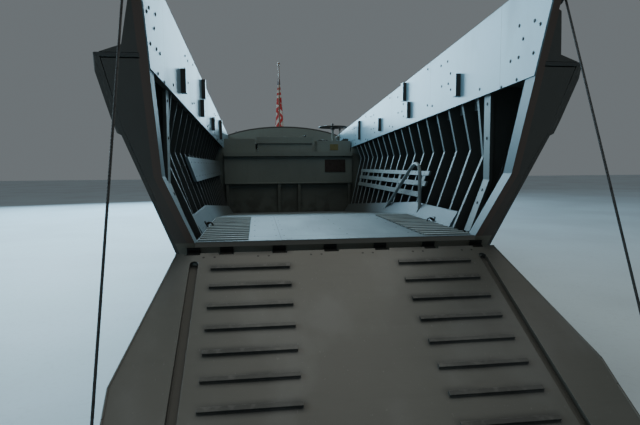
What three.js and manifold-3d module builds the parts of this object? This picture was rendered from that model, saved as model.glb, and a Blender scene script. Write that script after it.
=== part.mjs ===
// A 36-foot plywood landing craft with a bow ramp, standing with the ramp lowered.
// Millimetres, +Z up, bow towards -Y, port side at +X, origin on the light waterline amidships.

import * as THREE from 'three';
import { mergeVertices } from 'three/addons/utils/BufferGeometryUtils.js';
import Module from 'manifold-3d';

const wasm = await Module();
wasm.setup();

// Driving dimensions. Everything below is modelled in the sill's own frame: y runs aft from the
// top front edge of the ramp sill, z up from it. The whole boat is then placed by SILL_Y and SILL_Z.
const SILL_Y = -5200;
const SILL_Z = 280;
const GAP = 0.3;
const RAKE = THREE.MathUtils.degToRad(22.4);
const RAKE_SLOPE = Math.tan(RAKE);

// Hull lines outside the planking: one row for each station, in the order of STATION_KEYS.
// rake is the station's share of the bow rake; keel and mid are heights on and off the centreline.
const STATION_KEYS = ['y', 'rake', 'keel', 'mid', 'chineX', 'chineZ', 'railX', 'railZ', 'sheerX', 'sheerZ'];
const STATIONS = [
  [0, 1, -250, -250, 1080, -250, 1385, 760, 1450, 1130],
  [1000, 0.35, -600, -510, 1190, -400, 1480, 740, 1530, 1085],
  [2200, 0, -810, -670, 1290, -520, 1555, 700, 1585, 1031],
  [4000, 0, -880, -740, 1350, -600, 1585, 630, 1605, 950],
  [6500, 0, -840, -730, 1350, -610, 1575, 525, 1595, 838],
  [8500, 0, -520, -640, 1300, -590, 1530, 440, 1550, 748],
  [10170, 0, -420, -520, 1220, -530, 1460, 370, 1480, 672],
].map((row) => Object.fromEntries(STATION_KEYS.map((key, i) => [key, row[i]])));
const STERN_Y = 10170;
const FAIR_STEPS = 20;
const SIDE_PLY = 25;
const BOTTOM_PLY = 40;
const TRANSOM_PLY = 40;

// The cargo well: its floor, and the inner edge of the side frames.
const WELL_HALF = 1000;
const FLOOR_PLY = 30;
const FLOOR_KINK_Y = 1630;
const FLOOR_DROP = 310;
const BULKHEAD_Y = 5400;
const GRATING = { inX: 640, outX: 985, first: 55, pitch: 105, wide: 42, count: 15, base: 5, high: 14 };
const CURB = { outX: 1096, topX: 1078, high: 130, start: 505 };
const KNUCKLE = { x: 1275, z: 645 };
const HANDRAIL = { x: 1052, foreY: 1395, bendY: 1460, bendZ: 545, aftY: 2790, radius: 18 };
const FRAME = { first: 420, pitch: 300, count: 17, ply: 32, topX: 1190, margin: 8 };
const BOW_FRAME = { y: 250, deep: 100, ply: 36, footX: 1046, knuckleX: 1196, knuckleZ: 402 };
const BEARER = { inX: 960, outX: 1075, high: 80 };
const CLAMP = { inX: 1300, outX: 1340, high: 110 };

// The bow posts stand in the raked plane of the ramp opening.
const POST = { deep: 115, knuckleX: 1165, knuckleZ: 456, topX: 1166, outX: 1212, topZ: 1660 };
const BRACKET = { thick: 36, edge: [[1425, 1152], [1300, 1190], [1258, 1330], [1230, 1420]] };

// The coaming above the side decks: steel plate inside, plywood bulwark outside.
const PLATE = { inX: 1158, outX: 1165.7, low: 1055, lowSlope: 0.0372, top: 1628, topSlope: 0.066 };
const DECK_PLY = 20;
const COCKPIT_END = 7200;
const RUB = { proud: 45, backing: 14, high: 90, under: 52 };

// Blocks on the steel plates: y, lowest z.
const PLATE_BLOCKS = [
  { y: 723, low: 1101, high: 188 },
  { y: 2090, low: 1050, high: 178 },
  { y: 2250, low: 1260, high: 206 },
  { y: 3410, low: 996, high: 176 },
  { y: 4780, low: 950, high: 310 },
];
const BLOCK = { long: 80, proud: 42 };

// The ramp, along its own slope from the hinge pin.
const HINGE = { y: -22, z: -97, pinR: 12, boreR: 13, eyeR: 30, armHalf: 15 };
const RAMP_ANGLE = THREE.MathUtils.degToRad(29);
const RAMP = { start: 22, lip: 2, length: 2100, top: 40, deep: 60, plate: 14, rim: 16, rib: 40 };
const RAMP_EDGE = [
  { along: RAMP.start, half: 1125 },
  { along: 1030, half: 1325 },
  { along: 1200, half: 1312 },
  { along: RAMP.length, half: 1262 },
];
const GUTTER = { inner: 965, outer: 1020, start: 85, deep: 34, wall: 8 };
const CLEATS = { first: 165, pitch: 172, count: 11, wide: 26, high: 16, inner: 370, outer: 880 };
const HINGE_EYES = [-900, -540, -180, 180, 540, 900];
const EYE = { long: 120, armLong: 90, side: 6 };
const CABLE = { along: 1740, rampX: 1238, lug: 22, headX: 1250, headY: -567, headZ: 1540, radius: 7 };
const SHEAVE = { radius: 45, thick: 26 };

// Aft of the well.
const LEDGE = { low: 690, high: 767, half: 1140, front: 5356 };
const CASING = { x0: -552, x1: 425, y0: 5506, y1: 7060, top: 1000, wall: 20 };
const LID = { low: 920, top: 1034, over: 14, side: 6, frontY: 5486 };
const COCKPIT_FLOOR = { top: 150, ply: 20 };
const CONSOLE = { x0: 524, x1: 1125, y0: 5492, y1: 5800, z1: 968 };
const HELM = { x: 830, y: 5650, z: 1222, radius: 250, rim: 14, column: 20, hub: 42, hubDrop: 42 };
const ENGINE = { half: 385, y0: 5560, y1: 6960, low: -620, high: 380 };
const TURTLE = { ply: 22, highFore: 550, highAft: 330, steps: 20, inset: 2 };
const TUB = { x: 620, y: 8150, radius: 340, wall: 8, top: 1300, low: 420 };
const STAFF = { x: 60, y: 10040, foot: 900, top: 3240, radius: 16 };
const ENSIGN = { wide: 150, deep: 80, low: 1320, high: 3170 };

// Machinery under the stern, and the outside keel.
const SHAFT = { y: 8770, z: -850, tilt: THREE.MathUtils.degToRad(4), radius: 24, long: 300 };
const PROPELLER = { radius: 272, hub: 52, hubLong: 170, pitch: 510, blades: 3 };
const RUDDER = { stockY: 9330, stockR: 26, foreY: 9200, aftY: 9760, top: -650, low: -1105, half: 17 };
const KEEL = { half: 60, foreY: 1300, foreLow: -960, endY: 8560, low: -1200 };
const HEEL = { half: 45, aftY: 9420, high: 50 };

const PAINT = {
  hull: { color: 0x565552, roughness: 0.62, metalness: 0.1 },
  deck: { color: 0x5f615f, roughness: 0.7, metalness: 0.05 },
  inside: { color: 0x9fb0b6, roughness: 0.55, metalness: 0.1 },
  frames: { color: 0x4d5658, roughness: 0.7, metalness: 0.0 },
  steel: { color: 0x4a4c4c, roughness: 0.5, metalness: 0.6 },
  bronze: { color: 0x8a6a3c, roughness: 0.4, metalness: 0.9 },
  engine: { color: 0x3f4a46, roughness: 0.5, metalness: 0.4 },
  wood: { color: 0x8b8577, roughness: 0.8, metalness: 0.0 },
  white: { color: 0xc9cfce, roughness: 0.6, metalness: 0.0 },
  cloth: { color: 0xb4474a, roughness: 0.9, metalness: 0.0 },
  black: { color: 0x1c1d1e, roughness: 0.5, metalness: 0.3 },
};

// Shape helpers.

function signedVolume(geometry) {
  const p = geometry.attributes.position;
  const index = geometry.index;
  const a = new THREE.Vector3();
  const b = new THREE.Vector3();
  const c = new THREE.Vector3();
  let sum = 0;
  for (let i = 0; i < index.count; i += 3) {
    a.fromBufferAttribute(p, index.getX(i));
    b.fromBufferAttribute(p, index.getX(i + 1));
    c.fromBufferAttribute(p, index.getX(i + 2));
    sum += a.dot(b.cross(c));
  }
  return sum / 6;
}

function turnedOut(geometry) {
  if (signedVolume(geometry) > 0) return geometry;
  const old = geometry.index.array;
  const flipped = [];
  for (let i = 0; i < old.length; i += 3) flipped.push(old[i], old[i + 2], old[i + 1]);
  geometry.setIndex(flipped);
  return geometry;
}

function mirrored(geometry) {
  return turnedOut(geometry.clone().scale(-1, 1, 1));
}

function ringNormal(ring) {
  const normal = new THREE.Vector3();
  ring.forEach((p, i) => {
    const q = ring[(i + 1) % ring.length];
    normal.x += (p[1] - q[1]) * (p[2] + q[2]);
    normal.y += (p[2] - q[2]) * (p[0] + q[0]);
    normal.z += (p[0] - q[0]) * (p[1] + q[1]);
  });
  return normal.normalize();
}

// Triangles that close a ring, each turning the way the ring does.
function capTriangles(ring) {
  const normal = ringNormal(ring);
  const helper = Math.abs(normal.z) < 0.9 ? new THREE.Vector3(0, 0, 1) : new THREE.Vector3(1, 0, 0);
  const u = new THREE.Vector3().crossVectors(helper, normal).normalize();
  const v = new THREE.Vector3().crossVectors(normal, u);
  const flat = ring.map((p) => {
    const point = new THREE.Vector3(...p);
    return new THREE.Vector2(point.dot(u), point.dot(v));
  });
  return THREE.ShapeUtils.triangulateShape(flat, []).map(([i, j, k]) => {
    const area = flat[j].clone().sub(flat[i]).cross(flat[k].clone().sub(flat[i]));
    return area > 0 ? [i, j, k] : [i, k, j];
  });
}

// A closed solid through rings of equally many points, capped at both ends.
function loft(rings) {
  const n = rings[0].length;
  const last = (rings.length - 1) * n;
  const index = [];
  for (let r = 0; r < last; r += n) {
    for (let i = 0; i < n; i++) {
      const a = r + i;
      const b = r + ((i + 1) % n);
      index.push(a, b, b + n, a, b + n, a + n);
    }
  }
  for (const [i, j, k] of capTriangles(rings[0])) index.push(i, k, j);
  for (const [i, j, k] of capTriangles(rings[rings.length - 1])) index.push(last + i, last + j, last + k);
  const geometry = new THREE.BufferGeometry();
  geometry.setAttribute('position', new THREE.Float32BufferAttribute(rings.flat(2), 3));
  geometry.setIndex(index);
  return turnedOut(geometry);
}

// A flat outline of [x, z] points, thick from y0 to y1.
function slab(outline, y0, y1) {
  return loft([y0, y1].map((y) => outline.map(([x, z]) => [x, y, z])));
}

function box(x0, x1, y0, y1, z0, z1) {
  return slab([[x0, z0], [x1, z0], [x1, z1], [x0, z1]], y0, y1);
}

function rod(from, to, radius, sides = 12) {
  const a = new THREE.Vector3(...from);
  const b = new THREE.Vector3(...to);
  const geometry = new THREE.CylinderGeometry(radius, radius, a.distanceTo(b), sides);
  const turn = new THREE.Quaternion().setFromUnitVectors(
    new THREE.Vector3(0, 1, 0),
    b.clone().sub(a).normalize(),
  );
  geometry.applyQuaternion(turn);
  geometry.translate((a.x + b.x) / 2, (a.y + b.y) / 2, (a.z + b.z) / 2);
  return welded(geometry);
}

function welded(geometry) {
  const bare = geometry.clone();
  bare.deleteAttribute('normal');
  bare.deleteAttribute('uv');
  return mergeVertices(bare, 1e-3);
}

function toManifold(geometry) {
  const bare = welded(geometry);
  return new wasm.Manifold(new wasm.Mesh({
    numProp: 3,
    vertProperties: Float32Array.from(bare.attributes.position.array),
    triVerts: Uint32Array.from(bare.index.array),
  }));
}

function fromManifold(manifold) {
  const mesh = manifold.getMesh();
  const geometry = new THREE.BufferGeometry();
  geometry.setAttribute('position', new THREE.Float32BufferAttribute(mesh.vertProperties, 3));
  geometry.setIndex(Array.from(mesh.triVerts));
  return geometry;
}

function join(...pieces) {
  return fromManifold(pieces.map(toManifold).reduce((sum, piece) => sum.add(piece)));
}

function cut(body, ...tools) {
  return fromManifold(tools.map(toManifold).reduce((rest, tool) => rest.subtract(tool), toManifold(body)));
}

function range(count) {
  return Array.from({ length: count }, (_, i) => i);
}

// Hull lines.

// The value of one column at any y, on a smooth curve through the stations.
function fair(key, y) {
  const last = STATIONS.length - 1;
  const slope = (i) => {
    const a = STATIONS[Math.max(0, i - 1)];
    const b = STATIONS[Math.min(last, i + 1)];
    return (b[key] - a[key]) / (b.y - a.y);
  };
  const after = STATIONS.findIndex((s) => s.y > y);
  const i = after < 0 ? last - 1 : Math.max(0, after - 1);
  const a = STATIONS[i];
  const b = STATIONS[i + 1];
  const span = b.y - a.y;
  const t = (y - a.y) / span;
  const h = t * t * (3 - 2 * t);
  return a[key] * (1 - h) + b[key] * h + span * t * (1 - t) * ((1 - t) * slope(i) - t * slope(i + 1));
}

function section(y) {
  return Object.fromEntries(STATION_KEYS.map((key) => [key, key === 'y' ? y : fair(key, y)]));
}

function raked(s, x, z) {
  return [x, s.y - s.rake * RAKE_SLOPE * z, z];
}

// The raked station that crosses height z at y.
function sectionAt(y, z) {
  let station = y;
  for (let i = 0; i < 30; i++) station = y + fair('rake', station) * RAKE_SLOPE * z;
  return section(station);
}

function sheerHeight(y) {
  return sectionAt(y, sectionAt(y, fair('sheerZ', y)).sheerZ).sheerZ;
}

// Half-breadth outside the side planking at a height.
function sideX(s, z) {
  const [x0, z0, x1, z1] = z < s.railZ
    ? [s.chineX, s.chineZ, s.railX, s.railZ]
    : [s.railX, s.railZ, s.sheerX, s.sheerZ];
  return x0 + ((x1 - x0) * (z - z0)) / (z1 - z0);
}

function bottomZ(s, x) {
  const half = s.chineX / 2;
  const near = Math.abs(x) < half;
  const share = near ? Math.abs(x) / half : (Math.abs(x) - half) / half;
  return near ? s.keel + (s.mid - s.keel) * share : s.mid + (s.chineZ - s.mid) * share;
}

function stationsBetween(y0, y1, steps) {
  return range(steps + 1).map((i) => section(y0 + ((y1 - y0) * i) / steps));
}

function floorZ(y) {
  if (y <= FLOOR_KINK_Y) return 0;
  return (-FLOOR_DROP * (y - FLOOR_KINK_Y)) / (BULKHEAD_Y - FLOOR_KINK_Y);
}

function plateLow(y) {
  return PLATE.low - PLATE.lowSlope * y;
}

function plateTop(y) {
  return PLATE.top - PLATE.topSlope * y;
}

// Height at which a line z = at(y) meets the raked bow plane, set back by offset.
function bowHeight(at, offset) {
  const z0 = at(0);
  const slope = at(1) - z0;
  return (z0 + slope * offset) / (1 + slope * RAKE_SLOPE);
}

// The planked hull.

function bottomShell() {
  const ring = (s) => {
    const half = s.chineX / 2;
    const topX = sideX(s, s.chineZ + BOTTOM_PLY);
    const outer = [[-s.chineX, s.chineZ], [-half, s.mid], [0, s.keel], [half, s.mid], [s.chineX, s.chineZ]];
    const inner = [[topX, s.chineZ], [half, s.mid], [0, s.keel], [-half, s.mid], [-topX, s.chineZ]];
    return [
      ...outer.map(([x, z]) => raked(s, x, z)),
      ...inner.map(([x, z]) => raked(s, x, z + BOTTOM_PLY)),
    ];
  };
  const shell = loft(stationsBetween(0, STERN_Y, FAIR_STEPS).map(ring));
  const stockHole = rod([0, RUDDER.stockY, -800], [0, RUDDER.stockY, -300], RUDDER.stockR + 1, 16);
  return cut(shell, stockHole);
}

// Outer line of the side planking, from a height up to the sheer.
function sideLine(s, lowZ) {
  const underRub = s.railZ - RUB.under;
  return [
    [sideX(s, lowZ), lowZ],
    [sideX(s, underRub) + 2, underRub],
    [s.railX, s.railZ],
    [s.sheerX, s.sheerZ],
  ];
}

function sideShell() {
  const ring = (s) => {
    const line = sideLine(s, s.chineZ + BOTTOM_PLY + 3 * GAP);
    const back = line.map(([x, z]) => [x - SIDE_PLY, z]).reverse();
    return [...line, ...back].map(([x, z]) => raked(s, x, z));
  };
  return loft(stationsBetween(0, STERN_Y, FAIR_STEPS).map(ring));
}

function archPoints(y, inset) {
  const s = section(y);
  const share = (y - COCKPIT_END) / (STERN_Y - COCKPIT_END);
  const high = TURTLE.highFore + (TURTLE.highAft - TURTLE.highFore) * share - inset;
  const half = s.sheerX - TURTLE.inset - inset;
  return range(TURTLE.steps + 1).map((i) => {
    const angle = (Math.PI * i) / TURTLE.steps;
    return [half * Math.cos(angle), s.sheerZ + GAP + high * Math.sin(angle)];
  });
}

function transom() {
  const s = section(STERN_Y);
  const half = s.chineX / 2;
  const low = [[-s.railX, s.railZ], [-s.chineX, s.chineZ], [-half, s.mid], [0, s.keel], [half, s.mid],
    [s.chineX, s.chineZ], [s.railX, s.railZ]];
  return slab([...low, ...archPoints(STERN_Y, 0)], STERN_Y + GAP, STERN_Y + TRANSOM_PLY);
}

// Headlog under the sill, as wide as the planking lets it be.
function headlog() {
  const s = section(0);
  const ring = (back) => {
    const line = [[-1, 1], [1, 1], [1, 0], [-1, 0]];
    return line.map(([side, upper]) => {
      const z = upper ? -FLOOR_PLY - GAP : s.chineZ + BOTTOM_PLY + GAP;
      const x = side * (sideX(s, z) - SIDE_PLY - GAP);
      return [x, -RAKE_SLOPE * z + back, z];
    });
  };
  return loft([ring(0), ring(150)]);
}

// The keel is let into the bottom planking's underside.
function keelSkeg() {
  const half = KEEL.half;
  const count = 12;
  const rings = range(count + 1).map((i) => {
    const y = KEEL.foreY + ((KEEL.endY - KEEL.foreY) * i) / count;
    const low = KEEL.foreLow + ((KEEL.low - KEEL.foreLow) * i) / count;
    const top = fair('keel', y) + BOTTOM_PLY / 2;
    return [[-half, y, low], [half, y, low], [half, y, top], [-half, y, top]];
  });
  const heel = box(-HEEL.half, HEEL.half, KEEL.endY - 200, HEEL.aftY, KEEL.low, KEEL.low + HEEL.high);
  const boss = rod([0, KEEL.endY - 300, SHAFT.z + 14], [0, KEEL.endY + 30, SHAFT.z + 12], 75, 16);
  const bore = shaftRod(SHAFT.radius + 1, -700, 0);
  const stockY = RUDDER.stockY;
  const pintle = rod([0, stockY, KEEL.low - 10], [0, stockY, KEEL.low + 90], RUDDER.stockR + 1, 16);
  return cut(join(loft(rings), heel, boss), bottomShell().translate(0, 0, -GAP), bore, pintle);
}

function rubRail() {
  const ring = (s) => {
    const high = s.sheerZ + DECK_PLY - 2;
    const inside = sideLine(s, s.chineZ).slice(1).map(([x, z]) => [x + GAP, z]);
    const out = [
      [s.sheerX + GAP, high],
      [s.sheerX + RUB.proud, high],
      [s.sheerX + RUB.proud, high - RUB.high],
      [sideX(s, high - RUB.high - 12) + RUB.backing, high - RUB.high - 12],
      [sideX(s, s.railZ + 57) + RUB.backing, s.railZ + 57],
      [sideX(s, s.railZ + 45) + RUB.proud, s.railZ + 45],
      [s.railX + RUB.proud - 8, s.railZ - 40],
    ];
    return [...inside, ...out].map(([x, z]) => raked(s, x, z));
  };
  return loft(stationsBetween(0, STERN_Y, FAIR_STEPS).map(ring));
}

// Side decks, with their mooring bitts.

function bitt(x, y, z) {
  return join(
    rod([x, y, z], [x, y, z + 190], 42),
    rod([x, y - 95, z + 130], [x, y + 95, z + 130], 18, 8),
    box(x - 80, x + 80, y - 110, y + 110, z - 4, z + 16),
  );
}

function sideDeck() {
  const ring = (s) => {
    const low = s.sheerZ + GAP;
    const high = s.sheerZ + DECK_PLY;
    return [[POST.outX + 1, low], [s.sheerX, low], [s.sheerX, high], [POST.outX + 1, high]]
      .map(([x, z]) => raked(s, x, z));
  };
  const plank = loft(stationsBetween(0, COCKPIT_END - GAP, 14).map(ring));
  const bitts = [[1370, 900], [1420, 6750]].map(([x, y]) => bitt(x, y, sheerHeight(y) + DECK_PLY));
  return join(plank, ...bitts);
}

// Bow posts and side frames.

// A post in the plane of the opening, with a bracket down to the side deck.
function bowPost() {
  const s = section(0);
  const layer = (line, deep) => loft([0, deep].map((back) =>
    line.map(([x, z]) => [x, -RAKE_SLOPE * z + back, z])));
  const inner = SIDE_PLY + GAP;
  const lowZ = -FLOOR_PLY;
  const outline = [
    [WELL_HALF + GAP, lowZ],
    [sideX(s, lowZ) - inner, lowZ],
    [s.railX - inner, s.railZ],
    [s.sheerX - inner - 6, s.sheerZ - 9],
    [POST.outX, s.sheerZ - 9],
    [POST.outX, POST.topZ],
    [POST.topX, POST.topZ],
    [POST.topX, 1000],
    [POST.knuckleX, POST.knuckleZ],
    [WELL_HALF + GAP, 0],
  ];
  const bracket = [[POST.outX - 4, BRACKET.edge[0][1]], ...BRACKET.edge, [POST.outX - 4, 1430]];
  return join(layer(outline, POST.deep), layer(bracket, BRACKET.thick));
}

// One side frame: a plywood web from its knuckled inner edge out to the planking.
function sideFrame(y, ply, inside) {
  const floor = floorZ(y + ply / 2) - FLOOR_PLY - GAP;
  const low = floor - BEARER.high;
  const top = plateLow(y) + 8;
  const sheer = sheerHeight(y) - 2;
  const rail = sectionAt(y, 700).railZ;
  const outer = (z) => sideX(sectionAt(y, z), z) - SIDE_PLY - FRAME.margin;
  const outline = [
    [BEARER.inX, low],
    [outer(low), low],
    [outer(rail), rail],
    [outer(sheer), sheer],
    [POST.outX + 1, sheer],
    [POST.outX + 1, top],
    [FRAME.topX, top],
    ...inside,
    [inside[inside.length - 1][0], floor],
    [BEARER.inX, floor],
  ];
  return slab(outline, y - ply / 2, y + ply / 2);
}

function sideFrames() {
  const bow = BOW_FRAME;
  const pieces = range(FRAME.count).map((i) => {
    const y = FRAME.first + FRAME.pitch * i;
    const foot = i ? [CURB.outX, floorZ(y) + CURB.high] : [WELL_HALF + 5, 10];
    const knuckle = i ? [KNUCKLE.x, KNUCKLE.z] : [KNUCKLE.x - 30, KNUCKLE.z - 60];
    return sideFrame(y, FRAME.ply, [knuckle, foot]);
  });
  pieces.push(sideFrame(bow.y, bow.ply, [[bow.knuckleX, bow.knuckleZ], [bow.footX, 4]]));
  const facing = [
    [FRAME.topX, plateLow(bow.y) + 6],
    [bow.knuckleX, bow.knuckleZ],
    [bow.footX, 4],
    [bow.footX + 30, 4],
    [bow.knuckleX + 26, bow.knuckleZ],
    [FRAME.topX + 26, plateLow(bow.y) + 6],
  ];
  pieces.push(slab(facing, bow.y - bow.deep / 2, bow.y + bow.deep / 2));
  const clampRing = (y) => {
    const top = sheerHeight(y) - 2;
    const low = top - CLAMP.high;
    return [[CLAMP.inX, low], [CLAMP.outX, low], [CLAMP.outX, top], [CLAMP.inX, top]]
      .map(([x, z]) => [x, y, z]);
  };
  pieces.push(loft(range(9).map((i) => clampRing(bow.y + ((BULKHEAD_Y - 5 - bow.y) * i) / 8))));
  const bearerRing = (y) => {
    const top = floorZ(y) - FLOOR_PLY - GAP;
    const low = top - BEARER.high;
    return [[BEARER.inX, low], [BEARER.outX, low], [BEARER.outX, top], [BEARER.inX, top]]
      .map(([x, z]) => [x, y, z]);
  };
  pieces.push(loft([bow.y - 18, FLOOR_KINK_Y, BULKHEAD_Y - 5].map(bearerRing)));
  return join(...pieces);
}

// Coaming.

function plateStrip(inX, outX, frontOffset, lowLift) {
  const end = COCKPIT_END - GAP;
  const corners = (low, top) => [[inX, low], [outX, low], [outX, top], [inX, top]];
  const front = corners(
    bowHeight((y) => plateLow(y) + lowLift, frontOffset),
    bowHeight(plateTop, frontOffset),
  ).map(([x, z]) => [x, frontOffset - RAKE_SLOPE * z, z]);
  const back = corners(plateLow(end) + lowLift, plateTop(end)).map(([x, z]) => [x, end, z]);
  return loft([front, back]);
}

function armourPlate() {
  const blocks = PLATE_BLOCKS.map(({ y, low, high }) =>
    box(PLATE.inX - BLOCK.proud, PLATE.inX + 2, y - BLOCK.long / 2, y + BLOCK.long / 2, low, low + high));
  return join(plateStrip(PLATE.inX, PLATE.outX, 4, 0), ...blocks);
}

// Plywood bulwark, with knees on the deck outside it.
function bulwark() {
  const knees = range(8).map((i) => {
    const y = 300 + 900 * i;
    const deck = sheerHeight(y) + DECK_PLY + 2;
    const high = plateTop(y) - 60;
    const outline = [
      [POST.outX - 4, deck], [POST.outX + 90, deck], [POST.outX + 8, high], [POST.outX - 4, high],
    ];
    return slab(outline, y - 18, y + 18);
  });
  return join(plateStrip(POST.topX, POST.outX, POST.deep + GAP, 10), ...knees);
}

// Well floor, gratings, curbs and side fittings.

function bowFloor() {
  const wide = CURB.outX - GAP;
  const side = [[WELL_HALF, 0], [WELL_HALF, 460], [wide, 460], [wide, FLOOR_KINK_Y - GAP]];
  const plan = [...side, ...side.map(([x, y]) => [-x, y]).reverse()];
  return loft([-FLOOR_PLY, 0].map((z) => plan.map(([x, y]) => [x, y, z])));
}

function wellFloor() {
  const wide = CURB.outX - GAP;
  const ring = (y) => {
    const top = floorZ(y);
    const low = top - FLOOR_PLY;
    return [[-wide, y, low], [wide, y, low], [wide, y, top], [-wide, y, top]];
  };
  return loft([FLOOR_KINK_Y, BULKHEAD_Y - GAP].map(ring));
}

function grating() {
  const g = GRATING;
  const strips = range(g.count).map((i) => {
    const y = g.first + g.pitch * i;
    return box(g.inX, g.outX, y, y + g.wide, g.base - 3, g.high);
  });
  const last = g.first + g.pitch * (g.count - 1) + g.wide;
  return join(box(g.inX + 4, g.outX - 4, g.first + 4, last - 4, GAP, g.base), ...strips);
}

function curb() {
  const ring = (y) => {
    const f = floorZ(y) + GAP;
    const outX = CURB.outX - GAP;
    const top = f + CURB.high;
    return [[WELL_HALF, y, f], [outX, y, f], [outX, y, top], [CURB.topX, y, top]];
  };
  return loft([CURB.start, FLOOR_KINK_Y, BULKHEAD_Y - 5].map(ring));
}

// Inner edge of the frames between foot and knuckle, as x at a height.
function frameEdgeX(y, z) {
  const footZ = floorZ(y) + CURB.high;
  return CURB.outX + ((KNUCKLE.x - CURB.outX) * (z - footZ)) / (KNUCKLE.z - footZ);
}

// A plank laid fore and aft along the frames' sloping edges, its back on them.
function sidePlank(y0, y1, low, high, thick) {
  const ring = (y) => {
    const x0 = frameEdgeX(y, low) - 2.6;
    const x1 = frameEdgeX(y, high) - 2.6;
    return [[x0 - thick, low], [x0, low], [x1, high], [x1 - thick, high]].map(([x, z]) => [x, y, z]);
  };
  return loft(range(5).map((i) => ring(y0 + ((y1 - y0) * i) / 4)));
}

function sideSlats() {
  const slats = [
    sidePlank(1480, 4880, 408, 455, 22),
    sidePlank(1480, 4880, 300, 350, 22),
    sidePlank(1560, 4880, 185, 238, 22),
  ];
  const battens = [1620, 2520, 3420, 4320, 4800].map((y) => sidePlank(y - 45, y + 45, 200, 440, 12));
  return join(...slats, ...battens);
}

function sideBoard() {
  return mirrored(sidePlank(1480, BULKHEAD_Y - 20, 372, 612, 30));
}

// A bent pipe, both feet on the curb's sloping face.
function handrail() {
  const at = (y, z) => new THREE.Vector3(HANDRAIL.x, y, z);
  const { foreY, bendY, bendZ, aftY, radius } = HANDRAIL;
  const path = new THREE.CurvePath();
  const bendStart = at(bendY + 250, bendZ - 70);
  const bendEnd = at(foreY, bendZ - 120);
  path.add(new THREE.LineCurve3(at(aftY, floorZ(aftY) + 20), bendStart));
  path.add(new THREE.CubicBezierCurve3(bendStart, at(bendY + 120, bendZ), at(foreY, bendZ + 30), bendEnd));
  path.add(new THREE.LineCurve3(bendEnd, at(foreY, 20)));
  const circle = new THREE.Shape().absarc(0, 0, radius, 0, 2 * Math.PI);
  const sweep = { steps: 28, curveSegments: 5, bevelEnabled: false, extrudePath: path };
  return cut(new THREE.ExtrudeGeometry(circle, sweep), curb().translate(-GAP, 0, GAP));
}

// The after bulkhead of the well and what stands behind it.

function wellBulkhead() {
  const s = section(BULKHEAD_Y + 80);
  const outer = (z) => sideX(s, z) - SIDE_PLY - FRAME.margin;
  const low = -FLOOR_DROP - 200;
  const under = plateLow(BULKHEAD_Y + 80) - 6;
  const half = [[outer(low), low], [outer(s.railZ), s.railZ], [outer(s.sheerZ - 2), s.sheerZ - 2],
    [POST.outX + 2, s.sheerZ - 2], [POST.outX + 2, under]];
  const back = [
    ...half,
    [LEDGE.half, under],
    [LEDGE.half, LEDGE.high],
    [-590, LEDGE.high],
    [-590, 1000],
    [-LEDGE.half, 1000],
    [-LEDGE.half, under],
    ...half.reverse().map(([x, z]) => [-x, z]),
  ];
  const base = slab(back, BULKHEAD_Y + 50, BULKHEAD_Y + 80);
  const panel = box(-LEDGE.half, LEDGE.half, BULKHEAD_Y, BULKHEAD_Y + 52, 194, LEDGE.low + 2);
  const ledge = box(-LEDGE.half, LEDGE.half, LEDGE.front, BULKHEAD_Y + 52, LEDGE.low, LEDGE.high);
  const posts = [-1090, -180, 180, 1090].map((x) =>
    box(x - 24, x + 24, BULKHEAD_Y, BULKHEAD_Y + 52, -FLOOR_DROP + GAP, 196));
  return join(base, panel, ledge, ...posts);
}

function insideX(s, z) {
  return sideX(s, z) - SIDE_PLY - 3;
}

// The room inside the engine casing's walls.
function casingInside(z0, z1) {
  const { x0, x1, y0, y1, wall } = CASING;
  return box(x0 + wall, x1 - wall, y0 + wall, y1 - wall, z0, z1);
}

function cockpitFloor() {
  const high = COCKPIT_FLOOR.top;
  const low = high - COCKPIT_FLOOR.ply;
  const ring = (s) => [[-1, low], [1, low], [1, high], [-1, high]]
    .map(([side, z]) => [side * insideX(s, z), s.y, z]);
  const plate = loft(stationsBetween(BULKHEAD_Y + 80 + GAP, COCKPIT_END + 22, 4).map(ring));
  return cut(plate, casingInside(0, 300));
}

function engineBed() {
  const timber = (x0, x1) => loft(stationsBetween(5500, 7000, 4).map((s) => [
    [x0, s.y, bottomZ(s, x0) + BOTTOM_PLY / 2],
    [x1, s.y, bottomZ(s, x1) + BOTTOM_PLY / 2],
    [x1, s.y, ENGINE.low - GAP],
    [x0, s.y, ENGINE.low - GAP],
  ]));
  const cross = box(-240, 240, 6700, 6760, -720, ENGINE.low - 10);
  return cut(join(timber(-340, -230), timber(230, 340), cross), bottomShell().translate(0, 0, GAP));
}

function engineCasing() {
  const c = CASING;
  const outer = box(c.x0, c.x1, c.y0, c.y1, COCKPIT_FLOOR.top + GAP, c.top);
  return cut(outer, casingInside(0, c.top + 50));
}

// The hatch lid: a tray whose skirt laps over the casing, hinged along its starboard side.
function engineHatch() {
  const c = CASING;
  const side = LID.side;
  const out = side + LID.over;
  const outer = box(c.x0 - out, c.x1 + out, LID.frontY, c.y1 + out, LID.low, LID.top);
  const inner = box(c.x0 - side, c.x1 + side, c.y0 - side, c.y1 + side, 0, c.top + GAP);
  return cut(outer, inner);
}

function hatchHinge() {
  const x = CASING.x0 - LID.over - LID.side - 12;
  return join(
    rod([x, CASING.y0 + 100, LID.low - 14], [x, CASING.y1 - 100, LID.low - 14], 9),
    box(x, CASING.x0 - GAP, CASING.y0 + 120, CASING.y1 - 120, LID.low - 60, LID.low - 14),
  );
}

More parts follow.
